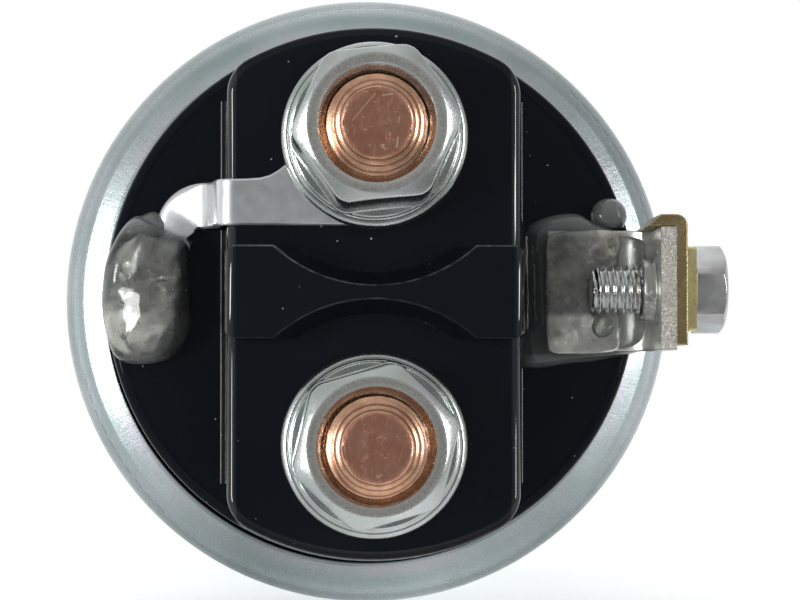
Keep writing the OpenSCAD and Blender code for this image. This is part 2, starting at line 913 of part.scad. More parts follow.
// Angle bracket: foot on the pad, bend, upright tab and drawn collar for the screw
module switch_bracket() {
    foot_length = bend_centre[0] - bracket_left;
    upright = tab_z - bend_centre[1];
    color(tin) laid_down()
        difference() {
            union() {
                translate([0, terminal_shift, 0])
                    rotate([90, 0, 0])
                        linear_extrude(bracket_width, center = true) {
                            translate([bracket_left, pad_z]) square([foot_length, bracket_wall]);
                            translate(bend_centre)
                                bend(bracket_bend, bracket_bend + bracket_wall, -90, 90);
                            translate([tab_inner, bend_centre[1]]) square([bracket_wall, upright]);
                        }
                translate([tab_inner - collar_length, terminal_shift, screw_z])
                    rotate([0, 90, 0])
                        cylinder(
                            r1 = collar_tip,
                            r2 = collar_root,
                            h = collar_length + bracket_wall / 2
                        );
            }
            translate([0, terminal_shift, screw_z])
                rotate([0, 90, 0]) rod(screw_hole, 0, tab_reach + overrun);
            for (i = [1, 2])
                translate([lead_places[i][0], lead_places[i][1], 0])
                    rod(lead_hole, pad_z - overrun, bracket_z + overrun);
        }
}

// Solder on the bracket's foot, with one drop that ran off beside it
module bracket_solder() {
    color(tin) laid_down() {
        difference() {
            translate([bolster_x + bolster_length / 2, terminal_shift, bracket_z])
                intersection() {
                    drafted_bar(
                        bolster_length / 2, bolster_length / 2, 0,
                        bolster_height, bolster_round, bolster_width
                    );
                    rotate(90)
                        drafted_bar(
                            bolster_width / 2, bolster_width / 2, 0,
                            bolster_height, bolster_round, bolster_length
                        );
                }
            for (i = [1, 2])
                translate([lead_places[i][0], lead_places[i][1], 0])
                    rod(lead_r, bracket_z - overrun, lead_tops[i]);
        }
        intersection() {
            translate([drop_x, drop_y, deck_z]) sphere(r = drop_r);
            translate([drop_x - drop_r, drop_y - drop_r, deck_z])
                cube([2 * drop_r, 2 * drop_r, drop_r]);
        }
    }
}

// Brass wire clamp: plate under the washer, with its hook over the tab
module wire_clamp() {
    bottom = screw_z - clamp_width / 2;
    color(brass) laid_down()
        difference() {
            translate([0, 0, bottom])
                linear_extrude(clamp_width) {
                    translate([clamp_x, terminal_shift - clamp_drop])
                        square([clamp_wall, hook_y - terminal_shift + clamp_drop]);
                    translate([clamp_x, hook_y]) ring_sector(0, clamp_wall, 0, 90);
                    translate([clamp_x - clamp_hook, hook_y])
                        square([clamp_hook, clamp_wall]);
                }
            translate([0, terminal_shift, screw_z])
                rotate([0, 90, 0]) rod(screw_hole, tab_reach - overrun, clamp_face + overrun);
        }
}

// Square washer held on the screw
module clamp_washer() {
    color(brass) laid_down()
        translate([clamp_face, terminal_shift, screw_z])
            rotate([0, 90, 0])
                difference() {
                    linear_extrude(washer_wall)
                        rounded_plate(washer_width, washer_width, washer_bevel);
                    rod(screw_hole, -overrun, washer_wall + overrun);
                }
}

// Clamp screw: hexagon head with bevelled corners and a plain shank at the thread's diameter
module clamp_screw() {
    head_r = screw_flats / 2;
    corner_r = head_r / cos(30);
    bevel = (corner_r - head_r) * tan(nut_bevel);
    tip = 0.8 * screw_r;
    color(zinc) laid_down()
        translate([washer_face, terminal_shift, screw_z])
            rotate([0, 90, 0]) {
                intersection() {
                    rotate(90 + screw_turned)
                        cylinder(r = corner_r, h = screw_head, $fn = 6);
                    turned()
                        polygon([
                            [0, 0],
                            [corner_r, 0],
                            [corner_r, screw_head - bevel],
                            [head_r, screw_head],
                            [0, screw_head]
                        ]);
                }
                turned()
                    polygon([
                        [0, -screw_length],
                        [tip, -screw_length],
                        [screw_r, -screw_length + screw_r - tip],
                        [screw_r, screw_head / 2],
                        [0, screw_head / 2]
                    ]);
            }
}

// Copper disc that bridges the two bolt heads
module contact_disc() {
    color(copper) laid_down()
        ring(bush_r + fit_gap, disc_diameter / 2, disc_z, disc_top);
}

// Insulating washer with the bush through the disc
module lower_insulator() {
    color([0.45, 0.26, 0.14]) laid_down() {
        ring(rod_r + slide_gap, insulator_r, insulator_z, disc_z);
        ring(rod_r + slide_gap, bush_r, insulator_z, disc_top);
    }
}

module upper_insulator() {
    color([0.45, 0.26, 0.14]) laid_down()
        ring(rod_r + slide_gap, insulator_r, disc_top, upper_z);
}

// Steel rod between plunger and contacts, with a groove for its clip
module contact_rod() {
    groove_r = rod_r - groove_depth;
    color(steel) laid_down()
        turned()
            polygon([
                [0, rod_bottom],
                [rod_r - rod_bevel, rod_bottom],
                [rod_r, rod_bottom + rod_bevel],
                [rod_r, upper_z],
                [groove_r, upper_z],
                [groove_r, clip_z],
                [rod_r, clip_z],
                [rod_r, rod_top - rod_bevel],
                [rod_r - rod_bevel, rod_top],
                [0, rod_top]
            ]);
}

// Collar on the rod that rests on the core and carries the pressure spring
module rod_collar() {
    color(steel) laid_down() ring(rod_r, collar_r, gasket_z, collar_z);
}

module rod_clip() {
    color(steel) laid_down() ring(rod_r - groove_depth, clip_r, upper_z, clip_z);
}

module contact_spring() {
    color(steel) laid_down() coil(contact_path, contact_wire_r);
}

module rod_spring() {
    color(steel) laid_down() coil(rod_path, rod_wire_r);
}

// Steel plunger: coned nose, guide, neck with a groove and a flat tongue with the lever's eye
module plunger() {
    groove_r = neck_r - circlip_depth;
    color(steel) laid_down()
        difference() {
            union() {
                turned()
                    polygon([
                        [0, neck_end_z],
                        [neck_r - neck_bevel, neck_end_z],
                        [neck_r, neck_end_z + neck_bevel],
                        [neck_r, groove_z],
                        [groove_r, groove_z],
                        [groove_r, circlip_z],
                        [neck_r, circlip_z],
                        [neck_r, seat_z],
                        [plunger_r, seat_z],
                        [plunger_r, plunger_cone_z],
                        [cone_foot_r, plunger_cone_z],
                        [nose_r, plunger_nose_z],
                        [0, plunger_nose_z]
                    ]);
                rotate([90, 0, 90])
                    linear_extrude(tongue_wall, center = true) {
                        translate([0, eye_z]) circle(r = tongue_width / 2);
                        translate([-tongue_width / 2, eye_z])
                            square([tongue_width, eye_reach + neck_length / 2]);
                    }
            }
            translate([0, 0, eye_z])
                rotate([0, 90, 0])
                    cylinder(r = eye_bore / 2, h = 2 * tongue_wall, center = true);
        }
}

module return_spring() {
    color(zinc) laid_down() coil(return_path, spring_wire_r);
}

// Pressed spring seat: a shallow cup on the plunger's neck
module spring_seat() {
    color(zinc) laid_down()
        turned() {
            translate([neck_r + fit_gap, circlip_z])
                square([seat_outer - neck_r - fit_gap, seat_wall]);
            translate([seat_outer - seat_wall, circlip_z]) square([seat_wall, seat_lip]);
        }
}

// Open ring in the neck's groove that holds the seat
module seat_circlip() {
    color(steel) laid_down()
        translate([0, 0, groove_z])
            linear_extrude(circlip_wall)
                difference() {
                    circle(r = circlip_outer);
                    circle(r = neck_r - circlip_depth + fit_gap);
                    translate([-circlip_gap / 2, 0]) square([circlip_gap, circlip_outer + overrun]);
                }
}

housing();
cap();
gasket();
fixed_core();
plunger_sleeve();
bobbin();
pull_in_winding();
winding_paper();
hold_in_winding();
winding_tape();
winding_leads();
lead_sleeves();
battery_bolt();
motor_bolt();
terminal_nuts();
motor_strap();
strap_solder();
switch_bracket();
bracket_solder();
wire_clamp();
clamp_washer();
clamp_screw();
contact_disc();
lower_insulator();
upper_insulator();
contact_rod();
rod_collar();
rod_clip();
contact_spring();
rod_spring();
plunger();
return_spring();
spring_seat();
seat_circlip();
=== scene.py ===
"""Looks of the starter solenoid relay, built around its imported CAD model.

Shapes are worked out in the CAD source's own directions, in millimetres: x to the right, y up and
z out of the housing towards the terminals. place() turns them into the shared frame, in metres.
"""
from math import atan2, cos, degrees, exp, log, pi, radians, sin, tan

import bmesh
import bpy
import numpy as np
from mathutils import Matrix, Vector, noise


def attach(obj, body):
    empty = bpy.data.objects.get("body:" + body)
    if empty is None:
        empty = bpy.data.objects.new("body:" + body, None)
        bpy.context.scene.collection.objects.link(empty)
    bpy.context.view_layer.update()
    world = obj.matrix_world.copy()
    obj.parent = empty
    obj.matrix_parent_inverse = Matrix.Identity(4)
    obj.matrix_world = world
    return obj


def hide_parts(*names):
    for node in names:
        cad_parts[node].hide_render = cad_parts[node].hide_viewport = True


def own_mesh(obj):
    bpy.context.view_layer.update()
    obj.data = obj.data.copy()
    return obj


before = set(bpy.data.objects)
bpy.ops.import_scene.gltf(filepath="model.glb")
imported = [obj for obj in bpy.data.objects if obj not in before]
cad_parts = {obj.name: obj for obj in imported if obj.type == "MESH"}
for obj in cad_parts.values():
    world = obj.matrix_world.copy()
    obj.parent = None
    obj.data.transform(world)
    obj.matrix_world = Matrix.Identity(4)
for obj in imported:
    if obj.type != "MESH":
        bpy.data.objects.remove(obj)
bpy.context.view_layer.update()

MM = 0.001
TAU = 2 * pi

# Heights, places and sizes in mm, most of them the CAD source's own
DECK_Z = 92.8
BLOCK_Z = 101.5
BARRIER_Z = 105.5
BOLT_Y = 15.75
BOLT_R = 5.0
BOLT_END = 114.3
BOLT_TIP = 3.4
BOLT_CHAMFER = 1.5
BOLT_PITCH = 1.25
RIDGE_STEP = 0.50
RIDGE_DEPTH = 0.085
HEAD_Z = (85.0, 90.0)
HEAD_SIZE = (15.0, 14.0)
NUT_HEIGHT = 9.5
NUT_HALF = 7.5
NUT_CORNER = 8.35
NUT_FLANGE = 9.45
SCREW_SHIFT = 0.4
SCREW_Z = 100.0
SCREW_FACE = 32.4
SCREW_LENGTH = 10.3
SCREW_R = 2.5
SCREW_PITCH = 0.8
SCREW_HALF = 4.0
SCREW_HEAD = 3.3
BRACKET_Z = 96.2
RIM_Z = 74.0
BLOCK_HALF = 14.9

# Places where looks change: on the rim, the nuts' faces, the bracket's tab and foot, and the painted shade
# round the clamp screw, in mm
RIM_MOUTH = 28.4
RIM_SHOULDER = 30.9
NUT_MIDDLE = 0.51
NUT_SPREAD = 0.16
NUT_FACE_INNER = 6.0
NUT_FACE_Z = 110.5
TAB_FACE_X = 28.55
TAB_END_Z = 105.85
FOOT_END_Z = 98.5
COLLAR_SHADE_R = 4.2

# The photograph's camera: focal length, picture and vanishing point in pixels, sensor in mm
FOCAL = 3063.0
PICTURE = (800.0, 600.0)
VANISHING = (290.0, 390.0)
SENSOR = 36.0
CAMERA_AT = Vector((-0.0085, -0.411, -0.0098))

# At the rim's height: the camera's distance in mm, pixels in a mm, the relay's axis from the vanishing point
RIM_DISTANCE = 337.0
RIM_SCALE = 9.09
AXIS_SHIFT = (77.7, -89.4)


# Meshes
def place(points):
    """Points in the source's directions, in mm, to the shared frame, in metres."""
    p = np.asarray(points, float).reshape(-1, 3)
    return np.stack([p[:, 0], -p[:, 2], p[:, 1]], 1) * MM


def add_object(name, data):
    """A new object in the scene."""
    thing = bpy.data.objects.new(name, data)
    bpy.context.scene.collection.objects.link(thing)
    return thing


def build(name, shape, materials, sharp=35.0, node=None, body="relay_body", kinds=None):
    """A mesh piece that rides on a body, and stands for a CAD node where one is named.

    shape starts with points and faces, kinds gives each face's material, and sharp is the angle in degrees
    from which an edge stays sharp.
    """
    points, faces = shape[:2]
    mesh = bpy.data.meshes.new(name)
    mesh.from_pydata(place(points).tolist(), [], [tuple(int(i) for i in f) for f in faces])
    mesh.validate()
    for material in materials:
        mesh.materials.append(material)
    if kinds is not None:
        mesh.polygons.foreach_set("material_index", np.asarray(kinds, np.int32))
    mesh.shade_smooth()
    mesh.set_sharp_from_angle(angle=radians(sharp))
    mesh.update()
    piece = add_object(name, mesh)
    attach(piece, body)
    if node:
        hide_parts(node)
    return piece


def circle(radius, z, sides, y=0.0):
    """A ring of points round an axis along z that stands at height y."""
    turns = [TAU * j / sides for j in range(sides)]
    return [(radius * cos(t), y + radius * sin(t), z) for t in turns]


def turned_rings(profile_at, sides):
    """Rings of a turned shape; profile_at gives its profile (radius, height) for an angle."""
    columns = []
    for j in range(sides):
        angle = TAU * j / sides
        columns.append([(r * cos(angle), r * sin(angle), z) for r, z in profile_at(angle)])
    return np.transpose(np.asarray(columns), (1, 0, 2)).tolist()


def grid_faces(rows, columns, loop=False):
    """Quads between closed rings of points, also from the last ring to the first where they loop."""
    faces = []
    for i in range(rows if loop else rows - 1):
        low, high = i * columns, (i + 1) % rows * columns
        for j in range(columns):
            k = (j + 1) % columns
            faces.append((low + j, low + k, high + k, high + j))
    return faces


def closed_rings(rings):
    """Points and faces of a skin over rings, whose ends close in one point each."""
    rings = np.asarray(rings, float)
    rows, columns = rings.shape[:2]
    points = rings.reshape(-1, 3).tolist() + [rings[0].mean(0).tolist(), rings[-1].mean(0).tolist()]
    faces = grid_faces(rows, columns)
    first, base = rows * columns, (rows - 1) * columns
    for j in range(columns):
        k = (j + 1) % columns
        faces.append((first, k, j))
        faces.append((first + 1, base + j, base + k))
    return points, faces


def ring_loop(rings):
    """Points and faces of a skin whose last ring joins its first, such as a nut with its hole."""
    rings = np.asarray(rings, float)
    return rings.reshape(-1, 3).tolist(), grid_faces(*rings.shape[:2], loop=True)


def flipped(shape):
    """The same shape with its faces turned over."""
    return shape[0], [face[::-1] for face in shape[1]]


def joined(parts):
    """Several (points, faces) as one, with each face's part as its kind."""
    points, faces, kinds = [], [], []
    for index, (some, theirs) in enumerate(parts):
        faces.extend([tuple(i + len(points) for i in f) for f in theirs])
        points.extend(some)
        kinds.extend([index] * len(theirs))
    return points, faces, kinds


def lowest(values, blend):
    """The lowest of several values, blended where two are close."""
    return -blend * log(sum(exp(-v / blend) for v in values))


def wobble(x, y, z, scale, seed):
    """Smooth noise from -1 to 1 at a place in mm."""
    return noise.noise(Vector((x * scale + seed, y * scale - seed, z * scale + 2 * seed)))


# Materials
class Nodes:
    """A node tree with short calls for the nodes that are used here."""

    def __init__(self, owner):
        owner.use_nodes = True
        self.tree = owner.node_tree

    def add(self, kind, feeds=None, **settings):
        """A new node with its settings, its inputs fed from sockets or set to values."""
        node = self.tree.nodes.new(kind)
        for key, value in settings.items():
            setattr(node, key, value)
        for key, value in (feeds or {}).items():
            self.put(node.inputs[key], value)
        return node

    def link(self, source, target):
        self.tree.links.new(source, target)

    def put(self, socket, value):
        """Feeds a socket from another socket, or sets its own value."""
        if isinstance(value, bpy.types.NodeSocket):
            self.link(value, socket)
        else:
            socket.default_value = value

    def math(self, operation, *values):
        return self.add("ShaderNodeMath", dict(enumerate(values)), operation=operation).outputs[0]

    def times(self, a, b):
        return self.math("MULTIPLY", a, b)

    def plus(self, a, b):
        return self.math("ADD", a, b)

    def minus(self, a, b):
        return self.math("SUBTRACT", a, b)

    def line(self, value, slope, start):
        return self.math("MULTIPLY_ADD", value, slope, start)

    def below(self, a, b):
        return self.math("LESS_THAN", a, b)

    def above(self, a, b):
        return self.math("GREATER_THAN", a, b)

    def hypot(self, a, b):
        return self.math("SQRT", self.plus(self.times(a, a), self.times(b, b)))

    def ramp(self, value, *stops):
        """Maps a value through (position, colour or grey) stops."""
        node = self.add("ShaderNodeValToRGB")
        steps = node.color_ramp.elements
        while len(steps) < len(stops):
            steps.new(0.5)
        for step, (position, colour) in zip(steps, stops):
            step.position = position
            step.color = (colour,) * 3 + (1,) if isinstance(colour, float) else tuple(colour) + (1,)
        self.link(value, node.inputs[0])
        return node.outputs[0]

    def fade(self, value, low, high):
        """0 below low, 1 above high and even between them."""
        return self.ramp(value, (low, 0.0), (high, 1.0))


class Surface(Nodes):
    """A material with its shader, and places on it in mm."""

    def __init__(self, name):
        self.material = bpy.data.materials.new(name)
        super().__init__(self.material)
        self.shader = self.tree.nodes["Principled BSDF"]
        rest = self.add("ShaderNodeTexCoord").outputs["Object"]
        scaled = self.add("ShaderNodeVectorMath", {0: rest, "Scale": 1 / MM}, operation="SCALE")
        self.mm = scaled.outputs[0]
        self.x, self.y, self.z = self.add("ShaderNodeSeparateXYZ", {0: self.mm}).outputs

    def set(self, **values):
        """Feeds the shader's inputs and gives back the material."""
        for key, value in values.items():
            self.put(self.shader.inputs[key.replace("_", " ")], value)
        return self.material

    def stretched(self, x, y, z):
        return self.add("ShaderNodeVectorMath", {0: self.mm, 1: (x, y, z)}, operation="MULTIPLY").outputs[0]

    def radius(self, x=0.0, z=0.0):
        """Distance in mm from an axis that runs along Y through x, z."""
        return self.hypot(self.minus(self.x, x), self.minus(self.z, z))

    def around(self, turns, radial, along):
        """Coordinates round the relay's axis: angle, radius and place along it."""
        angle = self.math("ARCTAN2", self.z, self.x)
        values = ((angle, turns), (self.radius(), radial), (self.y, along))
        feeds = {i: self.times(value, scale) for i, (value, scale) in enumerate(values)}
        return self.add("ShaderNodeCombineXYZ", feeds).outputs[0]

    def noise(self, scale, detail=3.0, rough=0.55, source=None, warp=0.0):
        feeds = {"Scale": scale, "Detail": detail, "Roughness": rough, "Distortion": warp}
        return self.add("ShaderNodeTexNoise", {**feeds, "Vector": source or self.mm}).outputs["Fac"]

    def cells(self, scale):
        return self.add("ShaderNodeTexVoronoi", {"Scale": scale, "Vector": self.mm}).outputs["Distance"]

    def mix(self, factor, a, b):
        a, b = (c if isinstance(c, bpy.types.NodeSocket) else tuple(c) + (1,) for c in (a, b))
        return self.add("ShaderNodeMix", {0: factor, 6: a, 7: b}, data_type="RGBA").outputs[2]

    def bump(self, height, depth, normal=None):
        feeds = {"Strength": 1.0, "Distance": depth * MM, "Height": height}
        if normal is not None:
            feeds["Normal"] = normal
        return self.add("ShaderNodeBump", feeds).outputs["Normal"]


def plated(name, light, dark, rough=(0.2, 0.36), grain=1.6, dent=0.012, stain=None, face_r=None):
    """Plated metal: cloudy tone, uneven gloss and small dents.

    face_r is the radius of the nuts' flat faces, which are paler and duller.
    """
    n = Surface(name)
    cloud = n.noise(0.35, 4.0, 0.6)
    fine = n.noise(grain * 3, 3.0, 0.6)
    colour = n.mix(n.fade(cloud, 0.35, 0.65), dark, light)
    if stain:
        colour = n.mix(n.fade(n.noise(0.22, 3.0, 0.6, warp=0.6), 0.55, 0.75), colour, stain)
    gloss = n.ramp(fine, (0.3, rough[0]), (0.7, rough[1]))
    if face_r is not None:
        up = n.math("ABSOLUTE", n.minus(n.z, NUT_MIDDLE))
        reach = n.hypot(n.x, n.minus(up, BOLT_Y + NUT_SPREAD))
        top = n.times(n.below(reach, face_r), n.above(reach, NUT_FACE_INNER))
        top = n.times(top, n.below(n.y, -NUT_FACE_Z))
        colour = n.mix(top, colour, (0.82, 0.82, 0.78))
        gloss = n.line(top, 0.04, gloss)
    return n.set(
        Base_Color=colour,
        Metallic=1.0, Roughness=gloss,
        Normal=n.bump(n.noise(grain, 3.0, 0.5), dent, n.bump(fine, dent * 0.4)),
    )


def drawn_steel():
    """Zinc on the drawn housing: faint streaks from drawing and rolling, clouds and small dents."""
    n = Surface("zinc_on_drawn_steel")
    radial = n.noise(1.0, 3.0, 0.6, source=n.around(110.0, 0.5, 0.10))
    rolled = n.noise(1.0, 3.0, 0.6, source=n.around(3.0, 9.0, 4.0))
    grain = n.noise(4.5, 2.0, 0.6)
    cloud = n.noise(0.13, 4.0, 0.6)
    reach = n.radius()
    across = n.times(n.minus(reach, RIM_MOUTH), 0.1)
    on_rim = n.below(n.y, -RIM_Z)
    shoulder = n.math("POWER", n.math("MAXIMUM", n.minus(reach, RIM_SHOULDER), 0.0), 1.5)
    tone = n.mix(n.fade(cloud, 0.35, 0.66), (0.50, 0.58, 0.58), (0.60, 0.66, 0.69))
    tone = n.mix(n.ramp(radial, (0.34, 0.35), (0.50, 0.0)), tone, (0.50, 0.55, 0.57))
    tone = n.mix(n.ramp(rolled, (0.58, 0.0), (0.80, 0.45)), tone, (0.46, 0.52, 0.50))
    inner = n.ramp(across, (0.030, 0.9), (0.040, 0.1), (0.050, 0.7), (0.065, 0.0))
    tone = n.mix(n.times(inner, n.below(n.y, -RIM_Z - 1.0)), tone, (0.10, 0.12, 0.13))
    band = n.times(n.ramp(across, (0.10, 0.0), (0.20, 1.0), (0.27, 1.0), (0.34, 0.0)),
                   n.ramp(n.noise(0.06, 2.0, 0.5), (0.38, 0.10), (0.58, 0.70)))
    tone = n.mix(n.times(band, on_rim), tone, (0.36, 0.455, 0.455))
    warm = n.times(n.ramp(across, (0.02, 0.0), (0.06, 1.0), (0.12, 1.0), (0.20, 0.0)),
                   n.ramp(n.noise(0.09, 2.0, 0.5), (0.42, 0.0), (0.60, 0.8)))
    tone = n.mix(n.times(warm, on_rim), tone, (0.58, 0.58, 0.63))
    return n.set(
        Base_Color=tone,
        Metallic=1.0, Roughness=n.ramp(grain, (0.30, 0.24), (0.70, 0.36)),
        Normal=n.bump(
            n.times(shoulder, -0.30), 1.0,
            n.bump(radial, 0.012, n.bump(grain, 0.012, n.bump(n.noise(0.35, 1.0, 0.5), 0.03)))),
    )


def moulded(name, colour, lighter, dust=True, gloss=(0.04, 0.09)):
    """Moulded plastic: glossy, faintly wavy, with dust and hairline scratches."""
    n = Surface(name)
    wave = n.noise(0.08, 2.0, 0.5)
    base = n.mix(n.fade(wave, 0.3, 0.7), colour, lighter)
    shine = 0.3
    if dust:
        shine = n.ramp(n.times(n.radius(), 0.01), (0.262, 0.3), (0.267, 0.09), (0.285, 0.09), (0.29, 0.3))
        # Painted sheen: more specular along the block's side edges, where its highlight lines fall.
        beside = n.math("ABSOLUTE", n.x)
        edge_sheen = n.times(n.above(beside, BLOCK_HALF - 1.0), n.below(beside, BLOCK_HALF + 0.9))
        edge_sheen = n.times(edge_sheen, n.below(n.y, -DECK_Z))
        shine = n.line(edge_sheen, 0.35, shine)
        near = n.ramp(n.times(n.radius(0.0, BOLT_Y), 0.02), (0.19, 0.06), (0.27, 0.0))
        speck = n.below(n.cells(0.9), n.plus(n.times(n.noise(3.0, 1.0), 0.12), near))
        some = n.above(n.plus(n.noise(0.6, 1.0), near), 0.585)
        base = n.mix(n.times(speck, some), base, (0.34, 0.36, 0.38))
        haze = n.ramp(n.noise(0.9, 5.0, 0.7), (0.66, 0.0), (0.90, 0.25))
        base = n.mix(haze, base, (0.03, 0.034, 0.038))
    hair = n.noise(1.0, 2.0, 0.5, source=n.stretched(0.25, 6.0, 6.0))
    return n.set(
        Base_Color=base,
        Roughness=n.ramp(n.noise(0.6, 4.0, 0.6), (0.35, gloss[0]), (0.7, gloss[1])),
        Normal=n.bump(hair, 0.0012, n.bump(n.noise(0.3, 2.0), 0.010)),
        Specular_IOR_Level=shine,
    )


def painted_edge_highlight():
    """Painted highlight on the barrier's edge: pale and patchy, most at the upper left, where the light
    falls.
    """
    n = Surface("black_edge_painted_highlight")
    # Painted highlight: the edge is coloured paler towards the top and the left.
    fade = n.line(n.z, 0.08, n.line(n.x, -0.012, 0.5))
    patchy = n.times(fade, n.ramp(n.noise(0.9, 3.0), (0.35, 0.35), (0.6, 1.0)))
    return n.set(
        Base_Color=n.ramp(patchy, (0.2, (0.012, 0.015, 0.018)), (0.9, (0.12, 0.13, 0.14))),
        Roughness=0.35,
        Specular_IOR_Level=0.18,
    )


def bright_copper():
    """Turned copper of the threads, bright on its flanks, with painted shade in the grooves of the end's
    chamfer.
    """
    n = Surface("bright_copper")
    cloud = n.noise(0.9, 4.0, 0.6)
    fine = n.noise(7.0, 3.0, 0.6)
    tone = n.mix(n.fade(cloud, 0.35, 0.66), (0.58, 0.31, 0.20), (0.76, 0.48, 0.33))
    into = n.plus(n.y, BOLT_END)
    ridge = n.line(n.math("SINE", n.times(into, TAU / RIDGE_STEP)), 0.5, 0.5)
    # Painted shade: the grooves between the chamfer's ridges are coloured dark brown.
    groove_shade = n.times(n.ramp(ridge, (0.10, 0.75), (0.40, 0.0)), n.below(into, BOLT_CHAMFER))
    return n.set(
        Base_Color=n.mix(groove_shade, tone, (0.22, 0.10, 0.06)),
        Metallic=1.0, Roughness=n.ramp(fine, (0.3, 0.22), (0.7, 0.34)),
        Normal=n.bump(fine, 0.004),
    )


# Long scratches on the motor bolt's end: place in mm, direction in degrees, half length and half width
END_SCRATCHES = (
    (-1.35, 17.70, 50, 1.75, 0.045),
    (1.90, 14.25, 84, 0.55, 0.10),
    (0.95, 18.90, 8, 0.55, 0.07),
    (2.05, 16.45, 80, 0.30, 0.08),
)


def cut_copper():
    """Sawn end of a bolt: dull red-brown copper with scratches, pits and small bright dings."""
    n = Surface("cut_copper")
    cloud = n.noise(0.45, 4.0, 0.65, warp=0.4)
    scratch = n.noise(1.0, 2.0, 0.5, source=n.stretched(2.6, 1.0, 0.7), warp=1.2)
    ding = n.fade(n.noise(1.7, 2.0, 0.5, warp=0.6), 0.66, 0.71)
    tone = n.mix(n.fade(cloud, 0.32, 0.70), (0.43, 0.20, 0.135), (0.70, 0.36, 0.26))
    tone = n.mix(n.ramp(scratch, (0.58, 0.0), (0.72, 0.5)), tone, (0.76, 0.44, 0.32))
    for x, z, turn, half_length, half_width in END_SCRATCHES:
        dx, dz = n.minus(n.x, x), n.minus(n.z, z)
        along, over = cos(radians(turn)), sin(radians(turn))
        u = n.math("ABSOLUTE", n.line(dx, along, n.times(dz, over)))
        v = n.math("ABSOLUTE", n.line(dz, along, n.times(dx, -over)))
        line = n.times(n.below(u, half_length), n.below(v, half_width))
        ding = n.math("MAXIMUM", ding, line)
    return n.set(
        Base_Color=n.mix(ding, tone, (0.92, 0.60, 0.42)),
        Metallic=1.0, Roughness=n.ramp(cloud, (0.3, 0.42), (0.7, 0.30)),
        Normal=n.bump(scratch, 0.03, n.bump(cloud, 0.10)),
    )


def resin(name, tint, cloudy, rough):
    """Casting resin with a grey cast, cloudy and wavy, milky along its upper and lower rims."""
    n = Surface(name)
    height = n.plus(n.times(n.z, 0.05), 0.5)
    return n.set(
        Base_Color=n.mix(n.fade(n.noise(0.35, 3.0), 0.3, 0.7), tint, cloudy),
        Roughness=n.ramp(n.noise(0.7, 3.0), (0.3, rough), (0.7, rough * 2.2)),
        Transmission_Weight=n.ramp(height, (0.16, 0.82), (0.20, 0.97), (0.80, 0.97), (0.88, 0.78)),
        IOR=1.45,
        Normal=n.bump(n.noise(0.4, 2.0), 0.02),
    )


def solder_metal():
    """Solder: dull silver with a warm cast, lumpy."""
    n = Surface("solder_metal")
    cloud = n.noise(0.28, 4.0, 0.6, warp=0.5)
    tone = n.mix(n.fade(cloud, 0.36, 0.62), (0.22, 0.22, 0.215), (0.54, 0.53, 0.48))
    sunk = n.plus(n.times(n.z, -0.1), n.times(cloud, 0.2))
    return n.set(
        Base_Color=n.mix(n.fade(sunk, 0.27, 0.34), tone, (0.90, 0.88, 0.80)),
        Metallic=0.9, Roughness=n.ramp(n.noise(1.4, 3.0), (0.3, 0.24), (0.7, 0.42)),
        Normal=n.bump(n.noise(0.6, 2.0), 0.10, n.bump(n.noise(3.5, 2.0), 0.01)),
    )


def wound(name, colour, dark, pitch):
    """Wound copper wire: even turns as fine ridges along the relay's axis."""
    n = Surface(name)
    feeds = {"Scale": 1 / pitch * 0.314, "Distortion": 0.3, "Vector": n.mm}
    ridge = n.add("ShaderNodeTexWave", feeds, bands_direction="Y").outputs["Fac"]
    return n.set(
        Base_Color=n.mix(n.fade(ridge, 0.1, 0.6), dark, colour),
        Metallic=0.85, Roughness=n.ramp(n.noise(0.8), (0.3, 0.3), (0.7, 0.45)),
        Normal=n.bump(ridge, 0.25),
    )


def matt(name, light, dark, rough, depth, weave):
    """Paper, tape, board, rubber: matt, with fibres or a weave."""
    n = Surface(name)
    fibre = n.noise(1.0, 4.0, 0.6, source=n.stretched(*weave))
    return n.set(
        Base_Color=n.mix(n.fade(fibre, 0.35, 0.65), dark, light),
        Roughness=n.ramp(n.noise(0.9), (0.3, rough), (0.7, rough + 0.15)),
        Normal=n.bump(fibre, depth),
    )


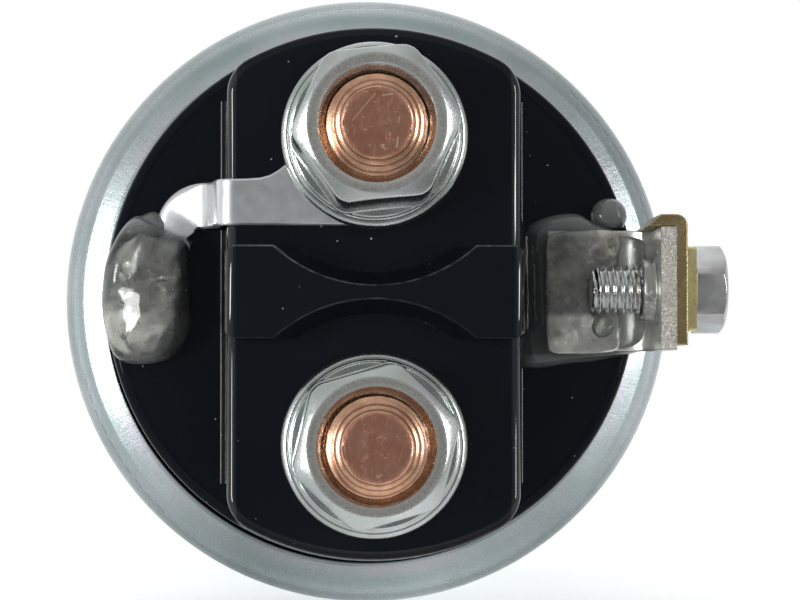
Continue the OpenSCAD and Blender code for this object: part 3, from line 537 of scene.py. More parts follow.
def tinned(name, dark, light, bend_x=None):
    """Tinned copper sheet: even grey with pale mottled flecks, softly uneven.

    bend_x is where the foot of the bracket begins to rise towards its bend; with it the bracket also gets
    painted shade round the clamp screw.
    """
    n = Surface(name)
    cloud = n.noise(0.3, 3.0, 0.6)
    fleck = n.noise(1.5, 4.0, 0.65, warp=0.5)
    patch = n.noise(0.25, 2.0, 0.5)
    tone = n.mix(n.fade(cloud, 0.35, 0.65), dark, light)
    show = n.times(n.ramp(fleck, (0.55, 0.0), (0.66, 0.75)), n.ramp(patch, (0.45, 0.2), (0.6, 1.0)))
    spark = n.ramp(n.noise(1.0, 2.0, 0.6, source=n.stretched(4.5, 4.5, 2.2)), (0.60, 0.0), (0.68, 0.8))
    show = n.math("MAXIMUM", show, n.times(spark, n.fade(patch, 0.48, 0.58)))
    normal = n.bump(n.noise(0.5, 3.0), 0.03, n.bump(fleck, 0.008))
    if bend_x is not None:
        past = n.math("MAXIMUM", n.minus(n.x, bend_x), 0.0)
        on_foot = n.above(n.y, -FOOT_END_Z)
        rise = n.times(n.times(past, past), n.times(on_foot, 0.15))
        grain = n.noise(3.2, 2.0, 0.6)
        end_face = n.below(n.y, -TAB_END_Z)
        tone = n.mix(n.times(end_face, 0.45), tone, (0.30, 0.28, 0.22))
        normal = n.bump(rise, 1.0, n.bump(n.times(grain, end_face), 0.30, normal))
        # Painted shade: the bracket is coloured near black round the clamp screw, inside the tab's face.
        reach = n.hypot(n.minus(n.z, SCREW_SHIFT), n.plus(n.y, SCREW_Z))
        collar_shade = n.times(n.below(reach, COLLAR_SHADE_R), n.below(n.x, TAB_FACE_X))
        tone = n.mix(n.times(collar_shade, 0.62), tone, (0.10, 0.105, 0.10))
    return n.set(
        Base_Color=n.mix(show, tone, (0.88, 0.88, 0.84)),
        Metallic=0.84, Roughness=n.ramp(n.noise(0.8, 3.0), (0.3, 0.26), (0.7, 0.36)),
        Normal=normal,
    )


ZINC = drawn_steel()
BLACK = moulded("black_moulded_plastic", (0.0042, 0.0066, 0.0100), (0.0062, 0.0088, 0.0124))
PAINTED_EDGE_HIGHLIGHT = painted_edge_highlight()
COPPER = bright_copper()
COPPER_END = cut_copper()
NUT = plated("bright_zinc_nut", (0.67, 0.71, 0.71), (0.56, 0.61, 0.59), (0.18, 0.30), dent=0.016,
             stain=(0.56, 0.62, 0.56), face_r=6.82)
SCREW = plated("bright_zinc_screw", (0.68, 0.71, 0.71), (0.52, 0.50, 0.50), (0.12, 0.20))
TINNED = tinned("tinned_sheet", (0.74, 0.76, 0.79), (0.84, 0.85, 0.86))
BRACKET = tinned("tinned_bracket", (0.60, 0.595, 0.56), (0.71, 0.705, 0.66), 25.6)
BRASS = plated("yellow_passivated_brass", (0.60, 0.47, 0.25), (0.36, 0.29, 0.14), (0.22, 0.36), grain=1.2,
               stain=(0.34, 0.33, 0.12))
WASHER = plated("yellow_passivated_washer", (0.96, 0.86, 0.44), (0.76, 0.69, 0.33), (0.26, 0.4), grain=1.2)
RESIN = resin("clear_resin", (0.60, 0.63, 0.64), (0.76, 0.78, 0.78), 0.03)
SOLDER = solder_metal()
IRON = plated("turned_steel", (0.52, 0.52, 0.53), (0.38, 0.38, 0.40), (0.28, 0.42), stain=(0.44, 0.40, 0.36))
SPRING = plated("spring_wire", (0.46, 0.47, 0.50), (0.30, 0.31, 0.33), (0.24, 0.38))
SLEEVE = plated("drawn_brass_sleeve", (0.80, 0.62, 0.30), (0.66, 0.50, 0.22), (0.2, 0.32))
BOBBIN = moulded("bobbin_plastic", (0.16, 0.10, 0.05), (0.20, 0.13, 0.07), dust=False, gloss=(0.35, 0.5))
WINDING = wound("wound_copper", (0.72, 0.30, 0.13), (0.30, 0.11, 0.05), 0.9)
PAPER = matt("insulating_paper", (0.60, 0.50, 0.32), (0.46, 0.37, 0.22), 0.75, 0.03, (0.5, 2.5, 0.5))
TAPE = matt("winding_tape", (0.62, 0.60, 0.52), (0.48, 0.46, 0.39), 0.7, 0.06, (3.0, 1.0, 3.0))
TUBE = matt("lead_tubing", (0.045, 0.10, 0.05), (0.03, 0.07, 0.035), 0.6, 0.05, (4.0, 4.0, 1.0))
BOARD = matt("insulating_board", (0.30, 0.15, 0.07), (0.21, 0.10, 0.045), 0.5, 0.03, (0.6, 4.0, 0.6))
RUBBER = matt("rubber", (0.035, 0.035, 0.035), (0.02, 0.02, 0.02), 0.65, 0.03, (1.2, 1.2, 1.2))

NODES_OF = (
    (ZINC, "housing"), (BLACK, "cap"), (RUBBER, "gasket"), (SLEEVE, "plunger_sleeve"), (BOBBIN, "bobbin"),
    (IRON, "fixed_core contact_rod rod_collar plunger spring_seat"),
    (WINDING, "pull_in_winding hold_in_winding"), (PAPER, "winding_paper"), (TAPE, "winding_tape"),
    (COPPER, "winding_leads battery_bolt motor_bolt contact_disc"), (TUBE, "lead_sleeves"),
    (NUT, "terminal_nuts"), (TINNED, "motor_strap"), (SOLDER, "strap_solder bracket_solder"),
    (BRACKET, "switch_bracket"), (BRASS, "wire_clamp"), (WASHER, "clamp_washer"),
    (SCREW, "clamp_screw"), (BOARD, "lower_insulator upper_insulator"),
    (SPRING, "rod_clip contact_spring rod_spring return_spring seat_circlip"),
)
for material, names in NODES_OF:
    for name in names.split():
        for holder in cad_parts[name].material_slots:
            holder.material = material


def broken_edges(piece, width):
    """Rounds a piece's sharp edges."""
    weld = piece.modifiers.new("weld", "WELD")
    weld.merge_threshold = 0.002 * MM
    bevel = piece.modifiers.new("edge", "BEVEL")
    bevel.width = width * MM
    bevel.segments = 2
    bevel.limit_method = "ANGLE"
    bevel.angle_limit = radians(40.0)
    bevel.harden_normals = True


# Edges of the sheet metal and of the cap are broken, as on the real pieces
EDGE_OF = {
    "cap": 0.22, "switch_bracket": 0.16, "clamp_washer": 0.12,
    "spring_seat": 0.2, "seat_circlip": 0.15, "contact_disc": 0.25,
}
for node, width in EDGE_OF.items():
    broken_edges(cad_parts[node], width)


# The strap: thickness, middle and half width of its arm, radius of its eye, in mm
STRAP_WALL = 1.0
STRAP_Y = 9.15
STRAP_HALF = 2.35
EYE_R = 9.2

# The hollow edge of the arm beside the motor nut, from its start to its bend over the block: x and y
HOLLOW = (
    (-0.5, 10.6), (-2.0, 10.9), (-3.0, 11.5), (-4.0, 12.5), (-5.2, 15.5), (-8.0, 14.2), (-9.06, 12.88),
    (-9.84, 12.29), (-10.6, 11.87), (-11.57, 11.62), (-12.92, 11.53), (-14.1, 11.5),
)

# The bend: radius in mm and end in degrees. The ways down beside the block and out on the deck: step in mm
# and slope in degrees. The elbow between them: radius in mm and turn in degrees.
BEND_R = 2.0
BEND_END = 72
WAY_DOWN = (
    (0.9, 76), (0.9, 82), (0.9, 84), (0.9, 82), (0.8, 76), (0.5, 66), (0.4, 54), (0.35, 43), (0.3, 34),
)
ELBOW_R = 2.6
ELBOW_TURN = 96.0
ELBOW_STEPS = 16
WAY_OUT = ((0.5, 16), (0.6, 10), (0.8, 4), (1.2, 0))


def sheet_section(middle, along, across, left, right, drop=0.0):
    """One ring of a strip of sheet: its two faces and its two rounded edges.

    The middle lies on the upper face, and the right edge may drop.
    """
    up = np.cross(along, across)
    up /= np.linalg.norm(up)
    wall, edge = STRAP_WALL, STRAP_WALL * 0.22
    ring = []
    for side, reach, fall in ((1, left, 0.0), (-1, right, drop)):
        corner = [(reach - edge - 2.2 * fall, 0.0), (reach - edge - 0.9 * fall, -0.45 * fall),
                  (reach - edge * 0.3 - 0.2 * fall, -edge * 0.3 - 0.85 * fall), (reach, -edge - fall),
                  (reach, -wall + edge), (reach - edge * 0.3, -wall + edge * 0.3), (reach - edge, -wall)]
        if side < 0:
            corner.reverse()
        ring.extend(middle + across * side * r + up * h for r, h in corner)
    return ring


def strap_strip():
    """The strap's arm, its bend over the block, the way down and the elbow that ends under the solder."""
    rows = []

    def station(x, y, z, heading, slope, left, right, drop=0.0):
        """A place on the strip's upper face; heading turns from -x towards -y, slope is the way down."""
        h, d = radians(heading), radians(slope)
        flat = np.array([-cos(h), -sin(h), 0.0])
        along = flat * cos(d) + np.array([0, 0, -sin(d)])
        across = np.array([sin(h), -cos(h), 0.0])
        rows.append(sheet_section(np.array([x, y, z]), along, across, left, right, drop))

    top = BLOCK_Z + STRAP_WALL
    hollow_x, hollow_y = np.array(HOLLOW).T
    for x in np.linspace(hollow_x[0], hollow_x[-1], 44):
        outer = float(np.interp(-x, -hollow_x, hollow_y))
        station(x, STRAP_Y, top - 0.01, 0, 0, STRAP_HALF, outer - STRAP_Y)
    for turn in np.linspace(6, BEND_END, 12):
        t = radians(turn)
        x, z = hollow_x[-1] - BEND_R * sin(t), top - BEND_R + BEND_R * cos(t)
        station(x, STRAP_Y, z, 0, turn, STRAP_HALF, STRAP_HALF)
    for step, slope in WAY_DOWN:
        d = radians(slope)
        x, z = x - step * cos(d), z - step * sin(d)
        station(x, STRAP_Y, z, 0, slope, STRAP_HALF, STRAP_HALF)
    centre_x, centre_y = x, STRAP_Y - ELBOW_R
    for i in range(1, ELBOW_STEPS + 1):
        share = i / ELBOW_STEPS
        heading = ELBOW_TURN * share
        h = radians(heading)
        slope = 26.0 - 4.0 * share if heading < 50 else (15.0 if heading < 58 else 9.0)
        x, y = centre_x - ELBOW_R * sin(h), centre_y + ELBOW_R * cos(h)
        z -= ELBOW_R * radians(ELBOW_TURN / ELBOW_STEPS) * tan(radians(slope))
        narrow = STRAP_HALF - 0.35 * share
        station(x, y, z, heading, slope, narrow, narrow, 0.3 * min(1.0, i / 4))
    for step, slope in WAY_OUT:
        z = max(DECK_Z + STRAP_WALL, z - step * tan(radians(slope)))
        x, y = x - step * 0.45, y - step
        station(x, y, z, ELBOW_TURN, slope, 1.5, 1.5)
    return closed_rings(rows)


def strap_eye():
    """The strap's round eye under the motor nut, with broken edges."""
    inner, outer, edge = BOLT_R + 0.05, EYE_R, 0.15
    low, high = BLOCK_Z, BLOCK_Z + STRAP_WALL
    profile = ((inner, low), (outer - edge, low), (outer, low + edge), (outer, high - edge),
               (outer - edge, high), (inner, high))
    return ring_loop([circle(r, z, 120, BOLT_Y) for r, z in profile])


strap = joined([strap_strip(), strap_eye()])
build("motor_strap_sheet", strap, [TINNED], 50.0, "motor_strap")


# Brass clamp
def slanted_clamp():
    """The clamp's own mesh with the free end of its hook cut back and slanted, as photographed."""
    hook, least, slant, depth = 0.6, 1.0, 1.3, 1.2
    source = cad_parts["wire_clamp"]
    mesh = source.data.copy()
    end = min(v.co.x for v in mesh.vertices)
    top = max(v.co.z for v in mesh.vertices)
    for v in mesh.vertices:
        if v.co.x < end + hook * MM:
            v.co.x += (least + slant * (1 - min(1.0, (top - v.co.z) / (depth * MM)))) * MM
    piece = add_object("wire_clamp_slanted", mesh)
    piece.matrix_world = source.matrix_world
    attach(piece, "terminal_clamp")
    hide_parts("wire_clamp")
    broken_edges(piece, 0.16)


slanted_clamp()


# Fillet of the cap and the bead with the barrier's painted highlight: the fillet's ends along the block, its
# foot and its radius, in mm
FILLET_Y = (-19.5, 20.2)
FILLET_FOOT = BLOCK_HALF + 0.6
FILLET_R = 0.26


def block_fillet(side):
    """Hollow fillet between the deck and the straight part of one side of the terminal block."""
    foot, radius = FILLET_FOOT, FILLET_R
    arc = [(foot + radius - radius * sin(a), DECK_Z + radius - radius * cos(a))
           for a in np.linspace(0, pi / 2 - 0.06, 8)]
    inner, low = foot - 0.35, DECK_Z - 0.05
    outline = arc + [(inner, DECK_Z + radius), (inner, low), (foot + radius, low)]
    shape = closed_rings([[(side * x, y, z) for x, z in outline] for y in FILLET_Y])
    return shape if side < 0 else flipped(shape)


build("cap_block_fillet", joined([block_fillet(-1), block_fillet(1)]), [BLACK], 30.0)


def barrier_highlight_beads():
    """A fine bead along the edge round the barrier's top face, coloured with a painted highlight: the pale
    line in the photograph.
    """
    radius, sides = 0.085, 6
    mesh = bmesh.new()
    mesh.from_mesh(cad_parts["cap"].data)
    bmesh.ops.remove_doubles(mesh, verts=mesh.verts, dist=0.002 * MM)
    up = np.array((0, 0, 1))
    parts = []
    for edge in mesh.edges:
        level = all(abs(v.co.y + BARRIER_Z * MM) < 0.01 * MM for v in edge.verts)
        facing = sorted(face.normal.y for face in edge.link_faces)
        if not level or len(facing) != 2 or facing[0] > -0.99 or facing[1] < -0.9:
            continue
        start, end = (np.array((v.co.x, v.co.z, -v.co.y)) / MM for v in edge.verts)
        along = (end - start) / np.linalg.norm(end - start)
        across = np.array((-along[1], along[0], 0.0))
        over = along * radius * 0.4
        parts.append(closed_rings([
            [middle + across * out + up * rise for out, rise, _ in circle(radius, 0.0, sides)]
            for middle in (start - over, end + over)
        ]))
    mesh.free()
    # The beads' pale colour is a painted highlight along the barrier's top edge.
    build("cap_barrier_edge_highlight", flipped(joined(parts)), [PAINTED_EDGE_HIGHLIGHT])


barrier_highlight_beads()


# Bolts
def saw(value):
    """Height of a thread between root (1) and crest (0) along one pitch."""
    share = value % 1.0
    rise = abs(share - 0.5) * 2
    return min(1.0, max(0.0, (rise - 0.12) / 0.68))


def threaded(radius, pitch, depth, heights, sides, limit):
    """Rings of a real helical thread; limit(z, angle) is the most that a radius may be."""
    def profile(angle):
        return [(min(radius - depth * saw(z / pitch - angle / TAU), limit(z, angle)), z) for z in heights]

    return turned_rings(profile, sides)


def rounded_box(size, low, high, edge, corner=1.2):
    """A block with broken edges, as rings that close at both ends."""
    half = np.array(size) / 2 - corner

    def ring(inset, z):
        out = []
        for sx, sy in ((1, 1), (-1, 1), (-1, -1), (1, -1)):
            for k in range(5):
                turn, reach = atan2(sy, sx) - pi / 4 + pi / 8 * k, corner - inset
                out.append((sx * half[0] + reach * cos(turn), sy * half[1] + reach * sin(turn), z))
        return out

    steps = ((edge + 0.6, 0), (edge, 0), (edge * 0.3, edge * 0.3), (0, edge))
    lower = [ring(inset, low + lift) for inset, lift in steps]
    return closed_rings(lower + [ring(inset, high - lift) for inset, lift in steps[::-1]])


# How far the motor bolt leans up at its end, and how far battery bolt and nut are raised, in mm
BOLT_LEAN = 0.45
BATTERY_RAISE = 0.35

# The thread that shows over the nuts: where it starts, where its rings get finer, and its depth, in mm
THREAD_Z = 109.3
THREAD_FINE_Z = 112.6
THREAD_DEPTH = 0.74

# Dents in the sawn ends: place in mm, direction in radians, length, width and depth in mm
MOTOR_DENTS = (
    (1.05, -1.25, radians(78), 0.55, 0.10, 0.10), (0.2, 1.6, radians(10), 0.6, 0.18, 0.06),
    (1.2, 0.3, 0.3, 0.35, 0.2, 0.06), (-1.2, -0.55, 0.9, 0.18, 0.14, 0.08),
    (-0.4, 0.9, radians(52), 1.1, 0.05, 0.03), (0.1, -1.6, 0.0, 0.9, 0.10, 0.04),
    (-0.05, 0.25, 0.4, 0.35, 0.3, 0.05), (1.75, -0.2, 1.5, 0.5, 0.08, 0.05),
)
BATTERY_DENTS = (
    (0.15, 0.1, radians(88), 1.3, 0.34, 0.05), (-1.6, 0.4, 1.2, 0.4, 0.2, 0.08),
    (-1.2, -0.9, 0.5, 0.5, 0.12, 0.07), (1.5, 0.8, 2.0, 0.6, 0.08, 0.05),
    (0.9, -1.4, 0.2, 0.5, 0.14, 0.05), (-0.9, 1.5, 0.7, 0.35, 0.2, 0.05),
)


def bolt_end_relief(x, y, seed, dents):
    """How far the sawn end of a bolt stands proud of its plane, in mm."""
    rise = 0.035 * wobble(x, y, 0, 0.55, seed) + 0.018 * wobble(x, y, 3, 1.6, seed)
    for cx, cy, turn, long, short, depth in dents:
        u = (x - cx) * cos(turn) + (y - cy) * sin(turn)
        v = -(x - cx) * sin(turn) + (y - cy) * cos(turn)
        rise -= depth * exp(-((u / long) ** 2) - (v / short) ** 2)
    return rise


def bolt_offset(side, z):
    """How far up, in mm, a bolt stands from its nominal axis: the motor bolt leans, the other is shifted."""
    if side > 0:
        return BOLT_LEAN * max(0.0, z - BLOCK_Z) / (BOLT_END - BLOCK_Z)
    return BATTERY_RAISE * min(1.0, max(0.0, (z - HEAD_Z[1]) / 5))


def nut_offset(side, z):
    """The same for the nuts: the motor nut leans a little more than its bolt."""
    return 0.10 + 0.060 * (z - BLOCK_Z - STRAP_WALL) if side > 0 else BATTERY_RAISE


def make_bolt(name, side, seed, dents):
    """A bolt with its thread, ridged chamfer, sawn end and contact head."""
    sides = 160
    slope = (BOLT_R - BOLT_TIP) / BOLT_CHAMFER

    def limit(z, angle):
        cone = BOLT_TIP + max(0.0, BOLT_END - 0.06 - z) * slope
        worn = 0.03 * wobble(cos(angle) * 4, sin(angle) * 4, z, 0.8, seed)
        return cone + RIDGE_DEPTH * sin(TAU * (BOLT_END - z) / RIDGE_STEP) + worn

    plain = [circle(BOLT_R, z, sides) for z in (HEAD_Z[1] - 0.02, THREAD_Z - 0.3)]
    heights = [*np.arange(THREAD_Z, THREAD_FINE_Z, 0.07), *np.arange(THREAD_FINE_Z, BOLT_END - 0.03, 0.03)]
    rings = plain + threaded(BOLT_R, BOLT_PITCH, THREAD_DEPTH, heights, sides, limit)
    edge_row = len(rings)
    for share in (0.985, 0.955, 0.90, 0.84, 0.77, 0.70, 0.62, 0.54, 0.46, 0.38, 0.30, 0.22, 0.14, 0.06):
        z = BOLT_END - 0.05 - 0.05 * max(0.0, share - 0.93) / 0.055
        ring = circle(BOLT_TIP * share, z, sides)
        rings.append([(x, y, z + bolt_end_relief(x, y, seed, dents)) for x, y, z in ring])
    shank = closed_rings(rings)
    head = rounded_box(HEAD_SIZE, *HEAD_Z, 0.5)
    points, faces, kinds = joined([shank, head])
    first_end = (edge_row - 1) * sides
    kinds = [int(part == 0 and min(f) >= first_end) for part, f in zip(kinds, faces)]
    points = [(x, y + side * BOLT_Y + bolt_offset(side, z), z) for x, y, z in points]
    build(name + "_turned", (points, faces), [COPPER, COPPER_END], 32.0, name, kinds=kinds)


make_bolt("motor_bolt", 1, 3.1, MOTOR_DENTS)
make_bolt("battery_bolt", -1, 8.7, BATTERY_DENTS)


# Nuts and clamp screw
def hexagon(angle, turn, half, corner):
    """Radius of a hexagon with rounded corners at an angle, corners at turn + 60 degrees."""
    away = (degrees(angle) - turn - 30) % 60
    away = radians(min(away, 60 - away))
    sharp = half / cos(away)
    return lowest((sharp, corner), 1 / 14.0)


# The nut's hole, its chamfer's inner edge and the slope of the flange's cone, in mm
NUT_BORE = 5.05
NUT_CHAMFER_R = 6.9
NUT_CONE = 0.55
TAN30 = tan(radians(30))

# The flange from its underside to its cone: inset from its rim and height; the hole's mouth: radius and depth
FLANGE_PROFILE = (
    (0.20, 0.0), (0.06, 0.08), (0.0, 0.25), (0.0, 0.46), (0.04, 0.64), (0.14, 0.80), (0.30, 0.94),
    (0.48, 1.02), (0.56, 1.00), (0.62, 0.98), (0.68, 1.08), (0.80, 1.22), (0.92, 1.27),
)
MOUTH_PROFILE = ((6.02, 0.0), (5.90, 0.03), (5.80, 0.08), (5.45, 0.26), (5.10, 0.44), (NUT_BORE, 0.7))


def flange_nut(side, seat, turn):
    """The flange nut on the motor bolt (side 1) or the battery bolt (side -1), turned by degrees."""
    top, chamfer_r = NUT_HEIGHT, NUT_CHAMFER_R

    def profile(angle):
        r = hexagon(angle, turn, NUT_HALF, NUT_CORNER)
        cone = 1.38 + max(0.0, NUT_FLANGE - 1.0 - r) * NUT_CONE
        side_top = top - (r - chamfer_r) * TAN30
        return [(NUT_BORE, 0.0)] + [(NUT_FLANGE - inset, z) for inset, z in FLANGE_PROFILE] + [
            (max(r + 0.32, NUT_FLANGE - 1.00), cone - 0.10), (max(r + 0.26, NUT_FLANGE - 1.14), cone - 0.02),
            (max(r + 0.22, NUT_FLANGE - 1.9), cone - 0.05), (r + 0.10, cone + 0.02), (r + 0.02, cone + 0.16),
            (r, cone + 0.35), (r, side_top - 0.12), (r - 0.05, side_top - 0.01),
            (r - 0.2, side_top + 0.2 * TAN30), (chamfer_r + 0.12, top - 0.07), (chamfer_r, top - 0.015),
            (chamfer_r - 0.15, top),
        ] + [(mouth, top - depth) for mouth, depth in MOUTH_PROFILE] + [(NUT_BORE, 4.0)]

    points, faces = ring_loop(turned_rings(profile, 192))
    return [(x, y + side * BOLT_Y + nut_offset(side, seat + z), seat + z) for x, y, z in points], faces


nuts = joined([flange_nut(1, BLOCK_Z + STRAP_WALL, 6.0), flange_nut(-1, BLOCK_Z, 16.5)])
build("terminal_nuts_turned", nuts, [NUT], 28.0, "terminal_nuts")


# The clamp screw: inner edge of its head's chamfer, depth of its thread and radius of its end, in mm
SCREW_CHAMFER_R = 3.7
SCREW_THREAD = 0.46
SCREW_TIP = 1.95


def make_clamp_screw():
    """The clamp screw with its thread, turned from z to the direction in which it sits."""
    sides = 96
    base, top, chamfer_r = -SCREW_LENGTH, SCREW_HEAD, SCREW_CHAMFER_R
    corner = SCREW_HALF / cos(radians(30)) - 0.12

    def limit(z, angle):
        return SCREW_TIP + max(0.0, z - base) * 1.1

    def profile(angle):
        r = hexagon(angle, 98.0, SCREW_HALF, corner)
        side_top = top - (r - chamfer_r) * TAN30
        return [
            (r - 0.30, 0.0), (r - 0.06, 0.02), (r, 0.10), (r, side_top - 0.10), (r - 0.05, side_top),
            (r - 0.18, side_top + 0.18 * TAN30), (chamfer_r + 0.1, top - 0.06),
            (chamfer_r - 0.02, top - 0.01), (chamfer_r - 0.2, top), (1.6, top), (0.5, top),
        ]

    heights = np.arange(base + 0.04, -0.05, 0.05)
    rings = [circle(0.4, base, sides), circle(1.7, base, sides)]
    rings += threaded(SCREW_R, SCREW_PITCH, SCREW_THREAD, heights, sides, limit)
    rings += turned_rings(profile, sides)
    points, faces = closed_rings(rings)
    turned = [(SCREW_FACE + z, SCREW_SHIFT + y, SCREW_Z - x) for x, y, z in points]
    build("clamp_screw_cut", (turned, faces), [SCREW], 30.0, "clamp_screw", "terminal_screw")


make_clamp_screw()


# Springs
def make_spring(node, body, radius, wire, bottom, length, turns):
    """Round wire in even turns with a closed turn at both ends; wire is its radius."""
    rings_a_turn, sides = 48, 18
    closed, rise = 2 * wire * 1.06, length - 2 * wire
    section = circle(wire, 0.0, sides)
    rings = []
    for i in range(turns * rings_a_turn + 1):
        turn = i / rings_a_turn
        height = float(np.interp(turn, (0, 1, turns - 1, turns), (0, closed, rise - closed, rise)))
        angle, middle = TAU * turn, bottom + wire + height
        rings.append([((radius + out) * cos(angle), (radius + out) * sin(angle), middle + up)
                      for out, up, _ in section])
    return build(node + "_wire", flipped(closed_rings(rings)), [SPRING], 60.0, node, body)


spring = make_spring("return_spring", "relay_body", radius=15.0, wire=0.9, bottom=-22.8, length=24.3, turns=6)
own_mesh(spring)
spring = make_spring("rod_spring", "relay_body", radius=4.7, wire=0.45, bottom=85.1, length=11.9, turns=6)
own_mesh(spring)
spring = make_spring("contact_spring", "contact_rod", radius=5.3, wire=0.5, bottom=71.5, length=7.1, turns=4)
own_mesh(spring)


# Solder and resin
def smooth_outline(points, count):
    """A closed smooth curve through points, as count even points."""
    p = np.asarray(points, float)
    n = len(p)
    fine = []
    for i in range(n):
        a, b, c, d = (p[(i + k) % n] for k in (-1, 0, 1, 2))
        for t in np.linspace(0, 1, 24, endpoint=False):
            fine.append(0.5 * (2 * b + (c - a) * t + (2 * a - 5 * b + 4 * c - d) * t ** 2
                               + (3 * b - a - 3 * c + d) * t ** 3))
    fine = np.asarray(fine)
    step = np.linalg.norm(np.roll(fine, -1, 0) - fine, axis=1)
    along = np.concatenate([[0], np.cumsum(step)])
    closed = np.vstack([fine, fine[:1]])
    at = np.linspace(0, along[-1], count, endpoint=False)
    return np.stack([np.interp(at, along, closed[:, k]) for k in (0, 1)], 1)


def lump(outline, centre, floor_z, height, fullness, count=112, rows=26, *, lumps, seed, features=()):
    """A rounded body over an outline: steep at its edge, full in the middle, with lumps and features.

    height is a number, or a function of the place that gives the height over the floor. features are
    humps and hollows: place, radius and height in mm.
    """
    edge, centre = smooth_outline(outline, count), np.asarray(centre, float)
    even = not callable(height)
    rings = []
    for i in range(rows):
        angle = i / (rows - 1) * pi / 2
        reach = max(0.02, cos(angle)) ** fullness
        lift = sin(angle) ** 0.8 if even else max(0.0, 1 - reach ** 7) ** 0.42
        ring = []
        for x, y in centre + (edge - centre) * reach:
            z = floor_z + (height if even else height(x, y)) * lift
            z += lumps * lift * (wobble(x, y, 0, 0.33, seed) + 0.45 * wobble(x, y, 5, 0.9, seed))
            for fx, fy, fr, fh in features:
                z += fh * lift * exp(-((x - fx) ** 2 + (y - fy) ** 2) / fr ** 2)
            ring.append((x, y, z))
        rings.append(ring)
    rings.insert(0, [(x, y, floor_z - 0.02) for x, y in centre + (edge - centre) * 0.9])
    area = sum(a[0] * b[1] - b[0] * a[1] for a, b in zip(edge, np.roll(edge, -1, 0)))
    return closed_rings(rings) if area >= 0 else flipped(closed_rings(rings))


def cast(name, material, node, *shape, **form):
    """A lump of resin or solder that stands for a CAD node or for a part of it."""
    build(name, lump(*shape, **form), [material], 60.0, node)


def from_photo(pixels, height):
    """Places on the plane at a height in mm of points measured in the photograph, in pixels."""
    k = RIM_DISTANCE / (RIM_DISTANCE - (height - RIM_Z))
    scale = RIM_SCALE * k
    axis_x, axis_y = VANISHING[0] + AXIS_SHIFT[0] * k, VANISHING[1] + AXIS_SHIFT[1] * k
    return [((x - axis_x) / scale, (axis_y - y) / scale) for x, y in pixels]


# Outlines of resin and solder, as measured in the photograph
STRAP_RESIN = from_photo([
    (193, 240), (180, 236), (164, 228), (150, 218), (136, 216), (124, 226), (113, 245), (106, 264),
    (103, 287), (102.6, 307), (106, 330), (114, 353), (125, 362), (146, 364), (168, 359), (184, 345),
    (192, 322), (193, 300), (190, 279), (190, 260),
], 93.5)
STRAP_SOLDER = from_photo([
    (182, 244), (165, 239), (142, 229), (129, 240), (118, 258), (111, 285), (111, 310), (116, 336),
    (128, 352), (148, 356), (164, 350), (177, 333), (185, 304), (186, 274), (184, 256),
], 94.5)
STRAP_NECK = from_photo([
    (122, 234), (129, 225), (138, 217.5), (147, 213), (153, 211), (160, 213), (166, 220), (166, 236),
    (158, 246), (142, 250), (128, 246),
], 94.0)
PAD_RESIN = from_photo([
    (650, 336), (642, 350), (620, 356), (595, 361), (565, 364), (540, 368), (522, 366), (511, 352),
    (513, 341), (523, 332), (524, 310), (524, 280), (523, 250), (524, 231), (536, 221), (556, 214),
    (578, 213), (592, 221), (612, 228), (635, 230), (650, 236), (654, 260), (655, 300),
], 93.4)
BRACKET_SOLDER = from_photo([
    (547.5, 244), (551, 234), (565, 231), (582, 230), (600, 229), (616, 231), (623, 240), (620, 262),
    (620, 300), (622, 335), (619, 349), (600, 352.5), (575, 353), (555, 352), (548.5, 345), (547, 320),
    (547, 290), (547, 265),
], 96.3)

# Centres of the two drops in the photograph, in pixels
STRAY_DROP = (611, 215)
BRACKET_DROP = (604, 326)


def resin_over_strap(x, y):
    """Flanks of the resin over the strap's leg: one leans left, one falls away below, one to the right."""
    upper = 1 / (1 + exp(-4.0 * (y - 0.9)))
    tilt = 0.435 - 0.30 * upper + 0.035 * (1 - upper) * wobble(x, y, 0, 0.6, 9.0)
    return lowest((2.75 + tilt * (x + 27.0), 4.2 - 0.05 * (x + 22.5), 4.1 - 0.55 * (x + 20.6),
                   3.4 + 0.42 * (y + 4.4), 4.3 - 0.30 * (y - 3.5)), 0.07)


def solder_over_strap(x, y):
    """The solder lies under the resin."""
    return resin_over_strap(x, y) - 0.65


def resin_drop(name, pixel, radius, base_z, height, seed):
    """A small round drop of resin, placed by its pixel in the photograph."""
    (x, y), = from_photo([pixel], base_z + height / 2)
    outline = [(x + rx, ry) for rx, ry, _ in circle(radius, 0.0, 10, y)]
    cast(name, RESIN, "bracket_solder", outline, (x, y), base_z, height, 0.8, 64, 16,
         lumps=0.08, seed=seed)


cast("strap_solder_metal", SOLDER, "strap_solder",
     STRAP_SOLDER, (-23.2, 0.4), DECK_Z, solder_over_strap, 0.55, lumps=0.22, seed=2.2,
     features=((-22.6, 0.4, 1.8, -0.4), (-23.6, -4.6, 2.0, 0.3), (-24.0, 4.4, 2.0, 0.2)))
cast("strap_resin", RESIN, "strap_solder",
     STRAP_RESIN, (-23.0, 0.6), DECK_Z, resin_over_strap, 0.50, 160, 40, lumps=0.035, seed=5.4,
     features=((-20.4, -2.5, 0.8, 0.28), (-22.0, 3.4, 1.3, -0.12)))
cast("strap_resin_neck", RESIN, "strap_solder",
     STRAP_NECK, (-22.9, 6.4), DECK_Z, 2.1, 0.6, 96, 20, lumps=0.04, seed=3.3)
cast("bracket_resin", RESIN, "bracket_solder",
     PAD_RESIN, (22.3, 0.3), DECK_Z, 3.75, 0.16, lumps=0.10, seed=1.7,
     features=((18.0, -3.6, 2.0, 0.25), (24.6, -3.4, 2.2, 0.2), (22.5, 4.0, 2.6, 0.25)))
resin_drop("stray_resin_drop", STRAY_DROP, 1.9, DECK_Z, 2.2, 4.0)
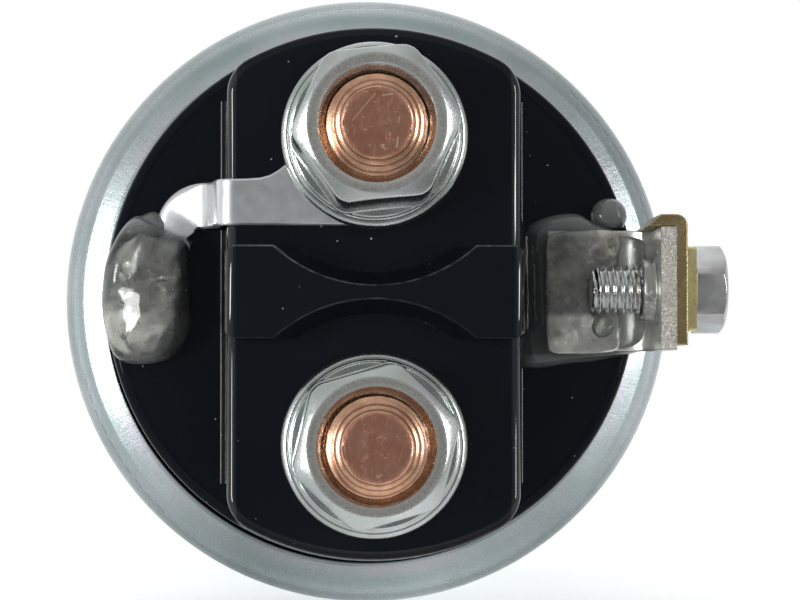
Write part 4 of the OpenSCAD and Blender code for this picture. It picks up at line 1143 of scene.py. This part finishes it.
resin_drop("bracket_resin_drop", BRACKET_DROP, 1.15, BRACKET_Z + 0.1, 0.75, 6.0)
cast("bracket_solder_metal", SOLDER, "bracket_solder",
     BRACKET_SOLDER, (22.4, 0.2), BRACKET_Z - 0.02, 0.24, 0.3, lumps=0.16, seed=7.3,
     features=((23.4, 4.6, 1.6, 0.35), (24.4, 2.2, 1.0, 0.25), (19.8, -4.2, 1.2, 0.3),
               (22.1, -2.7, 1.3, 0.30), (21.8, 2.0, 0.9, 0.20)))


# Surroundings, floor, light and camera
def emission_world():
    """Plain studio surroundings: white behind, darker round the camera; the camera sees white."""
    world = bpy.data.worlds.new("studio")
    bpy.context.scene.world = world
    n = Nodes(world)
    n.tree.nodes.clear()
    coords = n.add("ShaderNodeTexCoord").outputs["Generated"]
    x, y, z = n.add("ShaderNodeSeparateXYZ", {0: coords}).outputs
    tone = n.ramp(n.line(y, 0.5, 0.5), (0.0, 0.12), (0.012, 0.22), (0.06, 0.42), (0.15, 0.54),
                  (0.50, 0.62), (0.75, 0.9), (1.0, 1.0))
    side, rise = n.math("ABSOLUTE", x), n.math("ABSOLUTE", z)
    strength = 1.0
    for value, share in ((n.times(side, rise), -1.35), (n.times(side, z), 0.45), (x, -0.20), (rise, 0.25)):
        strength = n.line(value, share, strength)
    around = n.add("ShaderNodeBackground", {0: tone, 1: strength})
    white = n.add("ShaderNodeBackground", {0: (1, 1, 1, 1)})
    seen = n.add("ShaderNodeLightPath").outputs["Is Camera Ray"]
    mix = n.add("ShaderNodeMixShader", {0: seen, 1: around.outputs[0], 2: white.outputs[0]})
    n.add("ShaderNodeOutputWorld", {0: mix.outputs[0]})


# The floor's height, its near edge and how far it reaches, in metres
FLOOR_LOW = -0.0332
FLOOR_NEAR = -0.13
FLOOR_FAR = 6.0


def make_floor():
    """A pale floor, white to the camera; metal that mirrors it sees it brighter in the middle and behind."""
    mesh = bpy.data.meshes.new("floor")
    corners = ((-1, FLOOR_NEAR), (1, FLOOR_NEAR), (1, FLOOR_FAR), (-1, FLOOR_FAR))
    mesh.from_pydata([(side * FLOOR_FAR, y, FLOOR_LOW) for side, y in corners], [], [(0, 1, 2, 3)])
    n = Surface("pale_floor")
    n.set(Base_Color=(0.85, 0.85, 0.85, 1), Roughness=0.9, Specular_IOR_Level=0.0)
    aside = n.math("ABSOLUTE", n.minus(n.x, 6.0))
    under = n.math("MAXIMUM", n.line(aside, -0.016, 0.50), 0.14)
    behind = n.math("MAXIMUM", n.line(n.y, 0.009, 0.66), 0.0)
    under = n.plus(under, n.math("MINIMUM", behind, 0.30))
    path = n.add("ShaderNodeLightPath").outputs
    light = n.line(path["Is Glossy Ray"], under, n.times(path["Is Camera Ray"], 0.55))
    glow = n.add("ShaderNodeEmission", {0: (1, 1, 1, 1), 1: light})
    total = n.add("ShaderNodeAddShader", {0: n.shader.outputs[0], 1: glow.outputs[0]})
    n.link(total.outputs[0], n.tree.nodes["Material Output"].inputs[0])
    mesh.materials.append(n.material)
    floor = add_object("floor", mesh)


def softbox(name, at, size, watts):
    """A soft rectangular light that points at the relay's front."""
    front = Vector((0, -0.09, 0))
    data = bpy.data.lights.new(name, "AREA")
    data.shape = "RECTANGLE"
    data.size, data.size_y = size
    data.energy = watts
    lamp = add_object(name, data)
    lamp.location = at
    lamp.rotation_euler = (front - Vector(at)).to_track_quat("-Z", "Y").to_euler()


emission_world()
make_floor()
softbox("left_softbox", (-0.62, -0.60, -0.005), (0.13, 0.36), 2.4)
softbox("right_softbox", (0.62, -0.60, 0.05), (0.08, 0.36), 1.6)

camera_data = bpy.data.cameras.new("photo_camera")
camera_data.sensor_width = SENSOR
camera_data.lens = FOCAL / PICTURE[0] * SENSOR
camera_data.clip_start = 0.01
camera = add_object("photo_camera", camera_data)
forward = Vector(((PICTURE[0] / 2 - VANISHING[0]) / FOCAL, 1.0, (VANISHING[1] - PICTURE[1] / 2) / FOCAL))
camera.matrix_world = Matrix.Translation(CAMERA_AT) @ forward.to_track_quat("-Z", "Y").to_matrix().to_4x4()
bpy.context.scene.camera = camera
bpy.context.scene.view_settings.view_transform = "Standard"
